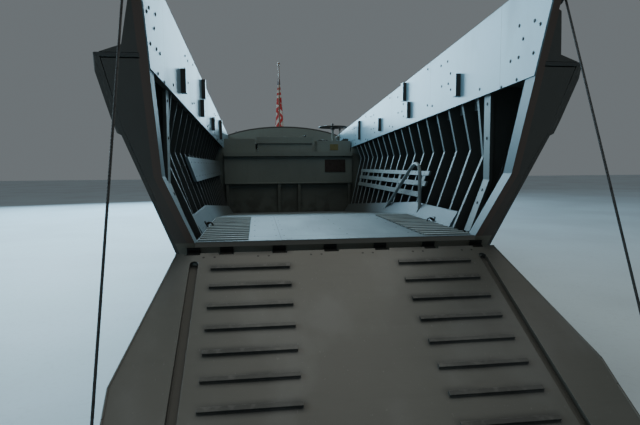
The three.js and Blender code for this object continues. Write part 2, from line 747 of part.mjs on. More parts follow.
function helmConsole() {
  const c = CONSOLE;
  const body = box(c.x0, c.x1, c.y0, c.y1, COCKPIT_FLOOR.top + GAP, c.z1);
  const tank = rod([c.x0 - 14, c.y0 + 60, 700], [c.x0 - 14, c.y0 + 60, c.z1 - 4], 28);
  const column = rod([HELM.x, HELM.y, c.z1 - 10], [HELM.x, HELM.y, HELM.z - HELM.hubDrop - GAP], HELM.column);
  const compass = rod([930, HELM.y, c.z1 - 5], [930, HELM.y, c.z1 + 20], 14, 8);
  const bowl = welded(new THREE.SphereGeometry(44, 12, 8).translate(930, HELM.y, c.z1 + 62));
  const throttle = rod([945, HELM.y - 60, c.z1 - 5], [950, HELM.y - 72, c.z1 + 222], 9, 8);
  return join(body, tank, column, compass, bowl, throttle);
}

function steeringWheel() {
  const rim = new THREE.TorusGeometry(HELM.radius, HELM.rim, 6, 32);
  const spokes = range(3).map((i) => {
    const a = (2 * Math.PI * i) / 3 + Math.PI / 6;
    const reach = HELM.radius - 4;
    return rod([0, 0, 0], [reach * Math.cos(a), reach * Math.sin(a), 0], 9, 6);
  });
  const hub = rod([0, 0, -HELM.hubDrop], [0, 0, 70], HELM.hub, 16);
  return join(welded(rim), hub, ...spokes).translate(HELM.x, HELM.y, HELM.z);
}

function turtleBulkhead() {
  const y = COCKPIT_END + 1;
  const s = section(y);
  const arch = archPoints(y, TURTLE.ply + 6);
  const low = COCKPIT_FLOOR.top + GAP;
  const side = [low, s.railZ, s.sheerZ].map((z) => [insideX(s, z), z]);
  const outline = [...side, ...arch, ...side.map(([x, z]) => [-x, z]).reverse()];
  return slab(outline, COCKPIT_END + 1, COCKPIT_END + 21);
}

function turtleDeck() {
  const count = 8;
  const rings = range(count + 1).map((i) => {
    const y = COCKPIT_END + GAP + ((STERN_Y - COCKPIT_END - GAP) * i) / count;
    return [...archPoints(y, 0), ...archPoints(y, TURTLE.ply).reverse()].map(([x, z]) => [x, y, z]);
  });
  const holes = [-TUB.x, TUB.x].map((x) => rod([x, TUB.y, 300], [x, TUB.y, 1500], TUB.radius, 32));
  const socket = rod([STAFF.x, STAFF.y, 880], [STAFF.x, STAFF.y, 1070], 34);
  const bore = rod([STAFF.x, STAFF.y, STAFF.foot], [STAFF.x, STAFF.y, 1100], STAFF.radius + 1);
  return cut(join(loft(rings), socket), ...holes, bore);
}

function gunTub() {
  const outer = rod([TUB.x, TUB.y, TUB.low], [TUB.x, TUB.y, TUB.top], TUB.radius - GAP, 32);
  const inner = rod([TUB.x, TUB.y, TUB.low + 20], [TUB.x, TUB.y, TUB.top + 50], TUB.radius - TUB.wall, 32);
  return cut(outer, inner);
}

function ensignStaff() {
  const ball = welded(new THREE.SphereGeometry(32, 12, 8).translate(STAFF.x, STAFF.y, STAFF.top));
  return join(rod([STAFF.x, STAFF.y, STAFF.foot + GAP], [STAFF.x, STAFF.y, STAFF.top], STAFF.radius), ball);
}

// The ensign hangs limp from the staff, as one slim folded shape.
function ensign() {
  const y = STAFF.y + STAFF.radius + GAP;
  const ring = (z, wide, deep) => range(10).map((i) => {
    const a = (2 * Math.PI * i) / 10;
    return [STAFF.x + (wide / 2) * Math.cos(a), y + deep / 2 + (deep / 2) * Math.sin(a), z];
  });
  const { wide, deep, low, high } = ENSIGN;
  const table = [[low, 0.35], [low + 260, 0.8], [low + 900, 1], [high - 350, 0.8], [high, 0.4]];
  return loft(table.map(([z, share]) => ring(z, wide * share, deep * share)));
}

// Machinery.

function shaftRod(radius, from, to) {
  const c = Math.cos(SHAFT.tilt);
  const t = Math.sin(SHAFT.tilt);
  const at = (along) => [0, SHAFT.y + along * c, SHAFT.z - along * t];
  return rod(at(from), at(to), radius, 16);
}

// A blade's rings, from the hub to the tip: radius and chord as shares of the tip radius, thickness.
const BLADE_RINGS = [
  { at: 0.14, chord: 0.3, thick: 26 },
  { at: 0.35, chord: 0.62, thick: 18 },
  { at: 0.6, chord: 0.84, thick: 13 },
  { at: 0.82, chord: 0.74, thick: 9 },
  { at: 0.95, chord: 0.42, thick: 6 },
  { at: 1, chord: 0.12, thick: 4 },
];
const BLADE_OUTLINE = [[-0.5, 0], [-0.2, 0.5], [0.2, 0.5], [0.5, 0], [0.2, -0.5], [-0.2, -0.5]];

function bladeRing({ at, chord, thick }) {
  const r = at * PROPELLER.radius;
  const wide = chord * PROPELLER.radius;
  const twist = Math.atan(PROPELLER.pitch / (2 * Math.PI * r));
  const c = Math.cos(twist);
  const s = Math.sin(twist);
  return BLADE_OUTLINE.map(([u, w]) => [u * wide * c - w * thick * s, u * wide * s + w * thick * c, r]);
}

function propeller() {
  const blade = (turn) => loft(BLADE_RINGS.map(bladeRing)).rotateY(turn);
  const blades = range(PROPELLER.blades).map((i) => blade((2 * Math.PI * i) / PROPELLER.blades));
  const hub = rod([0, -PROPELLER.hubLong / 2, 0], [0, PROPELLER.hubLong / 2, 0], PROPELLER.hub, 20);
  const cone = welded(new THREE.CylinderGeometry(12, 44, 70, 20).translate(0, PROPELLER.hubLong / 2 + 30, 0));
  const shaft = rod([0, -SHAFT.long, 0], [0, 0, 0], SHAFT.radius, 16);
  return join(hub, cone, shaft, ...blades).rotateX(-SHAFT.tilt).translate(0, SHAFT.y, SHAFT.z);
}

function rudder() {
  const r = RUDDER;
  const side = [[r.half, r.foreY + 90], [r.half, r.stockY + 120], [4, r.aftY]];
  const plan = [[0, r.foreY], ...side, ...side.map(([x, y]) => [-x, y]).reverse()];
  const blade = loft([r.low, r.top].map((z) => plan.map(([x, y]) => [x, y, z])));
  const stock = rod([0, r.stockY, KEEL.low + 4], [0, r.stockY, -440], r.stockR, 16);
  return join(blade, stock);
}

// The ramp and its gear. Its own frame: y runs back along the slope to the hinge pin at 0.

function rampPlan(inset) {
  const edge = RAMP_EDGE.map(({ along, half }) => [half - inset, -along]);
  edge[0][1] -= inset;
  edge[edge.length - 1][1] += inset;
  return [...edge, ...edge.map(([x, y]) => [-x, y]).reverse()];
}

function rampLayer(inset, low, high) {
  return loft([low, high].map((z) => rampPlan(inset).map(([x, y]) => [x, y, z])));
}

// Cleats across the plate, in two rows with a way between them.
function rampCleats() {
  const { first, pitch, count, wide, high, inner, outer } = CLEATS;
  return range(count).flatMap((i) => {
    const y = -first - pitch * i;
    const row = (x0, x1) => box(x0, x1, y - wide / 2, y + wide / 2, RAMP.top - 3, RAMP.top + high);
    return [row(-outer, -inner), row(inner, outer)];
  });
}

// The frame welded under the plate: a rim, ribs along the slope and two rails across it.
function rampFrame(low, high) {
  const { start, length, rim, rib } = RAMP;
  const ribs = [-750, -250, 250, 750].map((x) =>
    box(x - rib / 2, x + rib / 2, 10 - length, -start - 5, low, high));
  const rails = [700, 1400].map((along) => box(-1250, 1250, -along - rib, -along, low, high));
  return [cut(rampLayer(0, low, high), rampLayer(rim, low - 50, high + 50)), ...ribs, ...rails];
}

function rampEyes(low, high) {
  const half = EYE.long / 2;
  return HINGE_EYES.flatMap((x) => [
    rod([x - half, 0, 0], [x + half, 0, 0], HINGE.eyeR, 16),
    box(x - half, x + half, -RAMP.start - 5, 0, low, high),
  ]);
}

function cableLug(x) {
  const y = -CABLE.along;
  return box(x - 14, x + 14, y - 40, y + 40, RAMP.top - 5, RAMP.top + CABLE.lug);
}

// A gutter's hollow, round at its upper end, or with a wall its pressed outside.
function gutter(side, wall, high) {
  const x = (side * (GUTTER.inner + GUTTER.outer)) / 2;
  const radius = (GUTTER.outer - GUTTER.inner) / 2 + wall;
  const low = RAMP.top - GUTTER.deep - wall;
  const start = -GUTTER.start - radius;
  const end = wall ? RAMP.rim - 2 - RAMP.length : -RAMP.length - 50;
  const trough = box(x - radius, x + radius, end, start, low, high);
  return join(trough, rod([x, start, low], [x, start, high], radius, 16));
}

// Steel plate on a frame, with a gutter pressed along each side and cleats between them.
function ramp() {
  const low = RAMP.top - RAMP.deep;
  const under = RAMP.top - RAMP.plate;
  const lips = lipSpans().map(([x0, x1]) => box(x0, x1, -RAMP.start - 5, -RAMP.lip, under, RAMP.top));
  const body = join(
    rampLayer(0, under, RAMP.top),
    ...rampFrame(low, under + 2),
    ...rampCleats(),
    ...lips,
    ...rampEyes(low, under + 2),
    cableLug(CABLE.rampX),
    cableLug(-CABLE.rampX),
    gutter(1, GUTTER.wall, under + 2),
    gutter(-1, GUTTER.wall, under + 2),
  );
  const bore = rod([-1300, 0, 0], [1300, 0, 0], HINGE.boreR, 16);
  return cut(body, bore, gutter(1, 0, RAMP.top + 50), gutter(-1, 0, RAMP.top + 50));
}

function armStarts() {
  const step = EYE.long / 2 + EYE.side;
  return [HINGE_EYES[0] - step - EYE.armLong, ...HINGE_EYES.map((x) => x + step)];
}

// Where the ramp's upper lip runs, between the hinge arms.
function lipSpans() {
  const half = RAMP_EDGE[0].half;
  const starts = armStarts();
  const from = [-half, ...starts.map((x) => x + EYE.armLong + EYE.side)];
  const to = [...starts.map((x) => x - EYE.side), half];
  return from.map((x, i) => [x, to[i]]);
}

// Fixed side of the hinge: arms from the headlog to one long pin.
function rampHinge() {
  const starts = armStarts();
  const outer = -starts[0];
  const reach = -(HINGE.y * Math.cos(RAKE) + HINGE.z * Math.sin(RAKE)) - 0.5;
  const arms = starts.map((x) => box(x, x + EYE.armLong, 0, reach, -HINGE.armHalf, HINGE.armHalf));
  const plates = starts.map((x) => box(x, x + EYE.armLong, reach - 10, reach, -60, 45));
  const pin = rod([-outer, 0, 0], [outer, 0, 0], HINGE.pinR, 16);
  return join(pin, ...arms, ...plates).rotateX(RAKE).translate(0, HINGE.y, HINGE.z);
}

function rampPoint(x, along, high) {
  const c = Math.cos(RAMP_ANGLE);
  const s = Math.sin(RAMP_ANGLE);
  return [x, HINGE.y - along * c - high * s, HINGE.z - along * s + high * c];
}

function rampCable() {
  const low = rampPoint(CABLE.rampX, CABLE.along, RAMP.top + CABLE.lug + 5.9);
  return rod(low, [CABLE.headX, CABLE.headY, CABLE.headZ], CABLE.radius, 8);
}

// The cable's upper end meets the sheave's rim.
function cableSheave() {
  const x = CABLE.headX;
  const low = rampPoint(x, CABLE.along, RAMP.top + CABLE.lug);
  const lean = Math.atan2(CABLE.headY - low[1], CABLE.headZ - low[2]);
  const reach = SHEAVE.radius + CABLE.radius + GAP;
  const y = CABLE.headY + reach * Math.cos(lean);
  const z = CABLE.headZ - reach * Math.sin(lean);
  const wheel = rod([x - SHEAVE.thick / 2, y, z], [x + SHEAVE.thick / 2, y, z], SHEAVE.radius, 24);
  const pin = rod([POST.outX + GAP, y, z], [x + 24, y, z], 14, 12);
  const pad = box(POST.outX + GAP, POST.outX + 12, y - 36, y + 36, z - 40, z + 40);
  return join(wheel, pin, pad);
}

// The assembly.

const boat = new THREE.Group();
boat.position.set(0, SILL_Y, SILL_Z);

function add(name, geometry, paint, parent = boat) {
  const mesh = new THREE.Mesh(geometry, new THREE.MeshStandardMaterial(PAINT[paint]));
  mesh.name = name;
  parent.add(mesh);
}

function addPair(name, geometry, paint) {
  add(`${name}_port`, geometry, paint);
  add(`${name}_starboard`, mirrored(geometry), paint);
}

const rampGroup = new THREE.Group();
rampGroup.position.set(0, HINGE.y, HINGE.z);
rampGroup.rotation.x = RAMP_ANGLE;
boat.add(rampGroup);

const SINGLES = [
  ['bottom_shell', bottomShell, 'hull'],
  ['transom', transom, 'hull'],
  ['keel_skeg', keelSkeg, 'hull'],
  ['headlog', headlog, 'hull'],
  ['bow_floor', bowFloor, 'inside'],
  ['well_floor', wellFloor, 'inside'],
  ['side_slats_port', sideSlats, 'white'],
  ['side_board_starboard', sideBoard, 'inside'],
  ['handrail', handrail, 'inside'],
  ['well_bulkhead', wellBulkhead, 'deck'],
  ['cockpit_floor', cockpitFloor, 'deck'],
  ['engine_bed', engineBed, 'wood'],
  ['engine', () => box(-ENGINE.half, ENGINE.half, ENGINE.y0, ENGINE.y1, ENGINE.low, ENGINE.high), 'engine'],
  ['engine_casing', engineCasing, 'deck'],
  ['engine_hatch', engineHatch, 'deck'],
  ['hatch_hinge', hatchHinge, 'steel'],
  ['helm_console', helmConsole, 'deck'],
  ['steering_wheel', steeringWheel, 'black'],
  ['turtle_bulkhead', turtleBulkhead, 'deck'],
  ['turtle_deck', turtleDeck, 'deck'],
  ['ensign_staff', ensignStaff, 'wood'],
  ['ensign', ensign, 'cloth'],
  ['propeller', propeller, 'bronze'],
  ['rudder', rudder, 'steel'],
  ['ramp_hinge', rampHinge, 'steel'],
];
const PAIRS = [
  ['side_shell', sideShell, 'hull'],
  ['rub_rail', rubRail, 'hull'],
  ['side_deck', sideDeck, 'deck'],
  ['bow_post', bowPost, 'hull'],
  ['side_frames', sideFrames, 'frames'],
  ['armour_plate', armourPlate, 'inside'],
  ['bulwark', bulwark, 'hull'],
  ['bow_grating', grating, 'wood'],
  ['curb', curb, 'inside'],
  ['gun_tub', gunTub, 'deck'],
  ['ramp_cable', rampCable, 'black'],
  ['cable_sheave', cableSheave, 'steel'],
];

for (const [name, make, paint] of SINGLES) add(name, make(), paint);
for (const [name, make, paint] of PAIRS) addPair(name, make(), paint);
add('ramp', ramp(), 'hull', rampGroup);

export default boat;
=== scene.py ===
import math

import bmesh
import bpy
from mathutils import Matrix, Vector
from mathutils.bvhtree import BVHTree


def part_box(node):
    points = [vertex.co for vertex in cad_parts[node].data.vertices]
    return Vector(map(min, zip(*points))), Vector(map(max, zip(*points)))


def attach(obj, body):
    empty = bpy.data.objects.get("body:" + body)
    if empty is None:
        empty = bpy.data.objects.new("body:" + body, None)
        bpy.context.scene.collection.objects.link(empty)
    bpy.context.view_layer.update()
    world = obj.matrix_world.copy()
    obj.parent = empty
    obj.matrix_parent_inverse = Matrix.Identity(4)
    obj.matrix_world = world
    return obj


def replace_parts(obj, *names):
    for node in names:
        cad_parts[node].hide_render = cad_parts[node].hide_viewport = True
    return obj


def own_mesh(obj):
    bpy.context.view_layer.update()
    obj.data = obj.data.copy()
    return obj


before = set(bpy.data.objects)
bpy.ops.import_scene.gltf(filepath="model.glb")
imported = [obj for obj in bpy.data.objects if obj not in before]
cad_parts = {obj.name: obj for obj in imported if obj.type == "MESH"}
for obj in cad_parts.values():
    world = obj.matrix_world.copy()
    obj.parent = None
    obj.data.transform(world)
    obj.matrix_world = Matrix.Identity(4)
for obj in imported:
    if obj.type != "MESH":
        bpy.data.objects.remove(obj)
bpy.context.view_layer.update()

# The viewer stands before the ramp's toe, a little to starboard, and looks up it into the well.
# An ordinary wide lens, held almost level at the height of the deck.
STANDPOINT = (-0.574, -8.562, 0.799)
YAW = math.radians(7.32)
PITCH = math.radians(5.49)
ROLL = math.radians(-0.38)
LENS_MM = 27.46
camera = bpy.data.objects.new("camera", bpy.data.cameras.new("camera"))
camera.data.lens = LENS_MM
camera.data.sensor_width = 36
camera.matrix_world = (
    Matrix.Translation(STANDPOINT)
    @ Matrix.Rotation(-YAW, 4, "Z")
    @ Matrix.Rotation(math.pi / 2 - PITCH, 4, "X")
    @ Matrix.Rotation(ROLL, 4, "Z")
)
bpy.context.scene.collection.objects.link(camera)
bpy.context.scene.camera = camera


# The hall floor: pale power-floated concrete under the keel, with large soft windows for light.
# Every surface is a Finish, which is built up in layers the way paint, dirt and wear are.
class Number:
    """A value that varies over a surface. Arithmetic on it adds Math nodes."""

    def __init__(self, finish, socket):
        self.finish = finish
        self.socket = socket

    def math(self, operation, first, second):
        return self.finish.node("ShaderNodeMath", {"operation": operation}, {0: first, 1: second})

    def __add__(self, other):
        return self.math("ADD", self, other)

    def __sub__(self, other):
        return self.math("SUBTRACT", self, other)

    def __mul__(self, other):
        return self.math("MULTIPLY", self, other)

    def __rsub__(self, other):
        return self.math("SUBTRACT", other, self)

    def __rmul__(self, other):
        return self.math("MULTIPLY", other, self)

    def __abs__(self):
        return self.math("ABSOLUTE", self, 0.0)

    def __mod__(self, other):
        return self.math("FLOORED_MODULO", self, other)

    def least(self, other):
        """The smaller of the two."""
        return self.math("MINIMUM", self, other)

    def over(self, other):
        """1 where it is greater than the other, else 0."""
        return self.math("GREATER_THAN", self, other)

    def fade(self, low, high):
        """0 up to low and 1 from high, with a smooth slope between."""
        ends = {"From Min": low, "From Max": high, "Value": self}
        return self.finish.node("ShaderNodeMapRange", {"interpolation_type": "SMOOTHSTEP"}, ends)


class Finish:
    """A surface whose layers tint, roughen and raise parts of it."""

    def __init__(self, name, colour, rough, metal=0.0):
        self.material = bpy.data.materials.new(name)
        self.material.use_nodes = True
        self.tree = self.material.node_tree
        self.shader = self.tree.nodes["Principled BSDF"]
        self.shader.inputs["Metallic"].default_value = metal
        self.colour = colour
        self.rough = rough
        self.height = 0.0

    def feed(self, socket, value):
        """Sets a socket to a plain value or links a varying one to it."""
        if isinstance(value, Number):
            self.tree.links.new(value.socket, socket)
        elif hasattr(value, "__len__") and len(value) < len(socket.default_value):
            socket.default_value = (*value, 1.0)
        else:
            socket.default_value = value

    def node(self, kind, settings=None, inputs=None, output=0):
        """Adds a shader node and hands back one of its outputs."""
        made = self.tree.nodes.new(kind)
        for key, value in (settings or {}).items():
            setattr(made, key, value)
        for key, value in (inputs or {}).items():
            self.feed(made.inputs[key], value)
        return Number(self, made.outputs[output])

    def place(self, at=(0, 0, 0), turn=(0, 0, 0), size=(1, 1, 1)):
        """Object coordinates in a frame of their own, set at a point, turned and sized."""
        own = {"Vector": self.node("ShaderNodeTexCoord", output="Object")}
        own.update({"Location": at, "Rotation": turn, "Scale": size})
        return self.node("ShaderNodeMapping", {"vector_type": "TEXTURE"}, own)

    def axes(self, vector):
        """The x, y and z of a vector that varies over the surface."""
        split = self.node("ShaderNodeSeparateXYZ", inputs={"Vector": vector})
        return [Number(self, out) for out in split.socket.node.outputs]

    def facing(self):
        """The x, y and z of the way that the surface looks."""
        return self.axes(self.node("ShaderNodeTexCoord", output="Normal"))

    def noise(self, grain, size=(1, 1, 1), detail=3.0):
        """Cloudy noise with spots about grain metres wide, drawn out along the axes by size."""
        inputs = {"Vector": self.place(size=size), "Scale": 1 / grain, "Detail": detail}
        return self.node("ShaderNodeTexNoise", {}, inputs)

    def tint(self, share, colour, rough=None):
        """Lays a colour over a share of the surface, which may be rougher or smoother there."""
        layers = {0: share, 6: self.colour, 7: colour}
        self.colour = self.node("ShaderNodeMix", {"data_type": "RGBA"}, layers, 2)
        if rough is not None:
            self.rough = self.rough * (1 - share) + rough * share

    def edges(self, radius):
        """1 along sharp corners, fading out within a radius."""
        rounded = self.node("ShaderNodeBevel", {"samples": 4}, {"Radius": radius})
        flat = self.node("ShaderNodeNewGeometry", output="Normal")
        normals = {0: rounded, 1: flat}
        together = self.node("ShaderNodeVectorMath", {"operation": "DOT_PRODUCT"}, normals, "Value")
        return (1 - together).fade(0.03, 0.2)

    def close(self, strength=0.4, deep=0.003, corner=0.003):
        """Joins the layers to the shader, with corners rounded a little."""
        inputs = self.shader.inputs
        self.feed(inputs["Base Color"], self.colour)
        self.feed(inputs["Roughness"], self.rough)
        rounded = self.node("ShaderNodeBevel", {"samples": 4}, {"Radius": corner})
        bump = {"Strength": strength, "Distance": deep, "Height": self.height, "Normal": rounded}
        self.feed(inputs["Normal"], self.node("ShaderNodeBump", {}, bump))
        return self.material


def concrete():
    f = Finish("pale_concrete", (0.58, 0.68, 0.72), 0.5)
    f.tint(f.noise(2.5).fade(0.35, 0.7) * 0.4, (0.42, 0.45, 0.47))
    f.tint(f.noise(0.05, detail=6).fade(0.5, 0.8) * 0.2, (0.35, 0.36, 0.37))
    f.height = f.noise(0.3, detail=8)
    return f.close(0.1)


FLOOR_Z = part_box("keel_skeg")[0].z
FLOOR_REACH = 60
under_keel = Matrix.Translation((0, 0, FLOOR_Z))
ground = bmesh.new()
bmesh.ops.create_grid(ground, x_segments=2, y_segments=2, size=FLOOR_REACH, matrix=under_keel)
ground_mesh = bpy.data.meshes.new("hall_floor")
ground.to_mesh(ground_mesh)
ground.free()
ground_mesh.materials.append(concrete())
hall_floor = bpy.data.objects.new("hall_floor", ground_mesh)
bpy.context.scene.collection.objects.link(hall_floor)

# name, place, aimed at, width, height, watts, colour
WINDOWS = [
    ("window_aft", (-4.5, 15.0, 5.6), (0, 1.0, 0.8), 18, 9, 4000, (0.5, 0.8, 1.0)),
    ("window_starboard", (-13.0, -2.0, 5.5), (0, -2.0, 0.5), 12, 6, 1000, (0.62, 0.86, 1.0)),
    ("skylight", (0.5, -3.0, 9.5), (0, -3.0, 0.0), 9, 10, 380, (1.0, 0.97, 0.86)),
]
for name, spot, aim, wide, high, watts, colour in WINDOWS:
    lamp = bpy.data.lights.new(name, "AREA")
    lamp.shape = "RECTANGLE"
    lamp.size = wide
    lamp.size_y = high
    lamp.energy = watts
    lamp.color = colour
    window = bpy.data.objects.new(name, lamp)
    window.location = spot
    window.rotation_euler = (Vector(aim) - Vector(spot)).to_track_quat("-Z", "Y").to_euler()
    bpy.context.scene.collection.objects.link(window)
sky = bpy.data.worlds.new("hall")
sky.use_nodes = True
background = sky.node_tree.nodes["Background"]
background.inputs["Color"].default_value = (0.76, 0.85, 0.9, 1)
background.inputs["Strength"].default_value = 0.2
bpy.context.scene.world = sky


# The hull: a plywood skin on frames, over a timber keel with its heel, all in the same matt grey.
# The sides are sheets butted every 2.4 m, brushed by hand, dull and streaked below the guards.
def set_finish(material, *names):
    for name in names:
        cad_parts[name].material_slots[0].material = material


def both(name):
    return f"{name}_port", f"{name}_starboard"


def brushed(name, colour, rough=0.55, shade=0.75, streak=(1, 1, 6)):
    """Matt paint put on with a wide brush, uneven in tone, chalky in patches."""
    f = Finish(name, colour, rough)
    dark = tuple(shade * c for c in colour)
    light = tuple(min(1, 1.25 * c) for c in colour)
    f.tint(f.noise(0.9, detail=4).fade(0.3, 0.75) * 0.7, dark)
    f.tint(f.noise(0.06, size=streak, detail=5).fade(0.5, 0.8) * 0.35, dark)
    f.tint(f.noise(0.35, detail=6).fade(0.55, 0.85) * 0.3, light, rough + 0.12)
    f.height = f.noise(0.02, size=streak) * 0.5
    return f


HULL_SHEET = 2.4


def hull_grey():
    f = brushed("hull_grey", (0.125, 0.122, 0.112))
    _, y, z = f.axes(f.place())
    seam = 1 - abs(y % HULL_SHEET - HULL_SHEET / 2).fade(0.0, 0.006)
    f.tint(seam * 0.6, (0.03, 0.03, 0.03))
    f.height = f.height - seam * 2
    splash = (0.15 - z).fade(0.0, 0.7) * f.noise(0.25, size=(1, 1, 3), detail=6).fade(0.3, 0.7)
    f.tint(splash * 0.5, (0.07, 0.068, 0.06), 0.7)
    _, ny, _ = f.facing()
    # Faces that look forward are painted darker: painted shade, standing for the back-lit bow.
    f.tint((0 - ny).over(0.6), (0.07, 0.065, 0.057))
    f.tint(f.edges(0.008) * f.noise(0.05, detail=6).fade(0.45, 0.6) * 0.7, (0.2, 0.19, 0.17))
    return f.close()


HULL_GREY = hull_grey()
set_finish(HULL_GREY, "bottom_shell", "transom", "keel_skeg", *both("side_shell"), *both("rub_rail"))


# The frame that closes the bow: headlog and posts, of painted timber. Their front faces are dark, and
# brown along the inner edge where the ramp shuts. The faces towards the well are pale like the inside.
SILL_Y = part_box("bow_floor")[0].y
SILL_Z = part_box("bow_floor")[1].z


def at(x, y, z):
    """A point given from the sill's top front edge: to port, aft of it and above it."""
    return Vector((x, y + SILL_Y, z + SILL_Z))


# the posts' inner edges: half the way in at the sill, then half-width and height at the knuckle
POST_FOOT = 1.0
POST_KNUCKLE = (1.165, 0.456)
POST_FLARE = (POST_KNUCKLE[0] - POST_FOOT) / POST_KNUCKLE[1]
FACING_WIDTH = 0.052


def bow_timber():
    f = brushed("bow_timber", (0.075, 0.069, 0.06))
    x, _, z = f.axes(f.place(at=at(0, 0, 0)))
    nx, ny, _ = f.facing()
    front = (0 - ny).over(0.6)
    f.tint(front * (0 - z).over(0.0), (0.14, 0.13, 0.1))
    from_edge = abs(x) - POST_FOOT - z.least(POST_KNUCKLE[1]) * POST_FLARE
    facing = (1 - from_edge.fade(FACING_WIDTH - 0.004, FACING_WIDTH + 0.004)) * z.over(0.0)
    f.tint(front * facing * 0.85, (0.115, 0.072, 0.055))
    f.tint(front * (1 - z.fade(0.3, 0.5)) * z.over(0.0) * 0.4, (0.11, 0.08, 0.066))
    inward = abs(nx).over(0.35) * (1 - (x * nx).over(0.0)) * (1 - front)
    f.tint(inward, (0.24, 0.34, 0.39), 0.45)
    f.tint(f.edges(0.006) * f.noise(0.08, detail=5).fade(0.4, 0.6) * 0.6, (0.2, 0.18, 0.16))
    return f.close()


set_finish(bow_timber(), "headlog", *both("bow_post"))


# Side frames every 0.3 m: plywood webs painted dark as painted shade, with their inner edges brushed pale
# as painted light, and that pale painted darker aft to starboard as painted shade. The pair behind the
# posts is doubled and through-bolted.
def frame_paint():
    # The dark base is painted shade on the webs, which face fore and aft.
    f = brushed("frame_paint", (0.07, 0.078, 0.075))
    x, y, _ = f.axes(f.place(at=at(0, 0, 0)))
    nx, _, _ = f.facing()
    inner_edge = abs(nx).over(0.5) * (1 - (x * nx).over(0.0))
    # The inner edges are painted pale: painted light on the faces that look into the well.
    f.tint(inner_edge, (0.28, 0.36, 0.385), 0.5)
    # To starboard, aft of the foremost frames, that pale is painted dark again: painted shade.
    f.tint(inner_edge * (0 - x).over(0.0) * y.fade(0.35, 0.6), (0.035, 0.042, 0.044))
    return f.close()


set_finish(frame_paint(), *both("side_frames"))


def bar(bm, start, end, radius, sides=16, tip=None):
    """A round bar from one point to another, tapered to its tip where one is given."""
    start, end = Vector(start), Vector(end)
    turn = (end - start).to_track_quat("Z", "Y").to_matrix().to_4x4()
    place = Matrix.Translation((start + end) / 2) @ turn
    ends = {"radius1": radius, "radius2": radius if tip is None else tip}
    bmesh.ops.create_cone(
        bm, cap_ends=True, segments=sides, depth=(end - start).length, matrix=place, **ends)


def bolt(bm, point, normal, radius, high):
    """A six-sided head on its washer."""
    bar(bm, point - normal * 0.001, point + normal * high * 0.3, radius * 1.5, 14)
    bar(bm, point, point + normal * high, radius, 6, radius * 0.93)


def fit(name, bm, material, body="hull", smooth=35):
    """Makes a bmesh a piece of the boat, carried by a body."""
    bmesh.ops.recalc_face_normals(bm, faces=bm.faces)
    mesh = bpy.data.meshes.new(name)
    bm.to_mesh(mesh)
    bm.free()
    mesh.polygons.foreach_set("use_smooth", [True] * len(mesh.polygons))
    mesh.set_sharp_from_angle(angle=math.radians(smooth))
    mesh.materials.append(material)
    made = bpy.data.objects.new(name, mesh)
    bpy.context.scene.collection.objects.link(made)
    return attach(made, body)


def dark_steel():
    f = Finish("dark_steel", (0.035, 0.036, 0.036), 0.45, metal=0.6)
    f.tint(f.noise(0.03, detail=6).fade(0.5, 0.75) * 0.5, (0.09, 0.075, 0.06), 0.7)
    f.height = f.noise(0.01, detail=4)
    return f.close(0.2, 0.001, 0.001)


DARK_STEEL = dark_steel()


def skin(node):
    """The faces of a piece of the frame, ready for touch."""
    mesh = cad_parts[node].data
    return BVHTree.FromPolygons([v.co for v in mesh.vertices], [p.vertices for p in mesh.polygons])


def touch(tree, start, direction):
    """Where a straight line first meets a skin and how the face looks there, or None where it misses."""
    point, normal, _, _ = tree.ray_cast(Vector(start), Vector(direction).normalized())
    return point, normal


SIDES = [("port", 1), ("starboard", -1)]
# aft of the sill and above it
BOW_BOLTS = [(0.25, 0.223), (0.25, 0.322), (0.25, 0.72), (0.25, 0.98)]
frame_bolts = bmesh.new()
for side_name, side in SIDES:
    frame_skin = skin(f"side_frames_{side_name}")
    for y, z in BOW_BOLTS:
        bolt(frame_bolts, *touch(frame_skin, at(0, y, z), (side, 0, 0)), 0.009, 0.005)
fit("frame_bolts", frame_bolts, DARK_STEEL)


# The well's floor: plywood sheets in pale blue-grey, worn by boots, level behind the sill and then
# falling away aft, where it is darkened with a painted shadow. A steel strip caps the sill, and the
# sheets are screwed along their seams.
FLOOR_SEAM_X = -0.41
FLOOR_SEAM_Y = 0.24
FLOOR_SHEET = 1.21


def floor_paint():
    f = brushed("floor_paint", (0.16, 0.235, 0.28), 0.5, streak=(1, 8, 1))
    x, y, _ = f.axes(f.place(at=at(0, 0, 0)))
    seam = 1 - abs(x - FLOOR_SEAM_X).fade(0.001, 0.004)
    cross = 1 - abs(y % FLOOR_SHEET - FLOOR_SEAM_Y).fade(0.001, 0.004)
    seams = seam + cross - seam * cross
    f.tint(seams * 0.8, (0.03, 0.035, 0.035))
    # Darker and rougher aft of about 1.5 m: a painted shadow over the far floor.
    f.tint(y.fade(1.5, 3.2) * 0.85, (0.05, 0.06, 0.055), 0.65)
    trodden = f.noise(0.5, size=(1, 2.5, 1), detail=8).fade(0.42, 0.7) * (1 - abs(x).fade(0.45, 0.95))
    f.tint(trodden * 0.55, (0.1, 0.135, 0.15), 0.6)
    scratches = f.noise(0.02, size=(1, 30, 1), detail=3).fade(0.66, 0.72)
    f.tint(scratches * 0.5, (0.09, 0.11, 0.115), 0.6)
    _, ny, _ = f.facing()
    f.tint((0 - ny).over(0.6) * (0.02 - y).over(0.0), (0.17, 0.155, 0.13), 0.6)
    f.height = f.height * 0.5 - seams - scratches * 0.5
    return f.close()


FLOOR_PAINT = floor_paint()
set_finish(FLOOR_PAINT, "bow_floor", "well_floor", *both("curb"))


def block(bm, low, high, round_by):
    """A rectangular block between two corners, its edges rounded."""
    low, high = Vector(low), Vector(high)
    size = Matrix.Diagonal((*(high - low), 1))
    made = bmesh.ops.create_cube(bm, size=1, matrix=Matrix.Translation((low + high) / 2) @ size)
    edges = {e for v in made["verts"] for e in v.link_edges}
    bmesh.ops.bevel(
        bm, geom=list(edges), offset=round_by, segments=2, profile=0.5, affect="EDGES", material=-1)


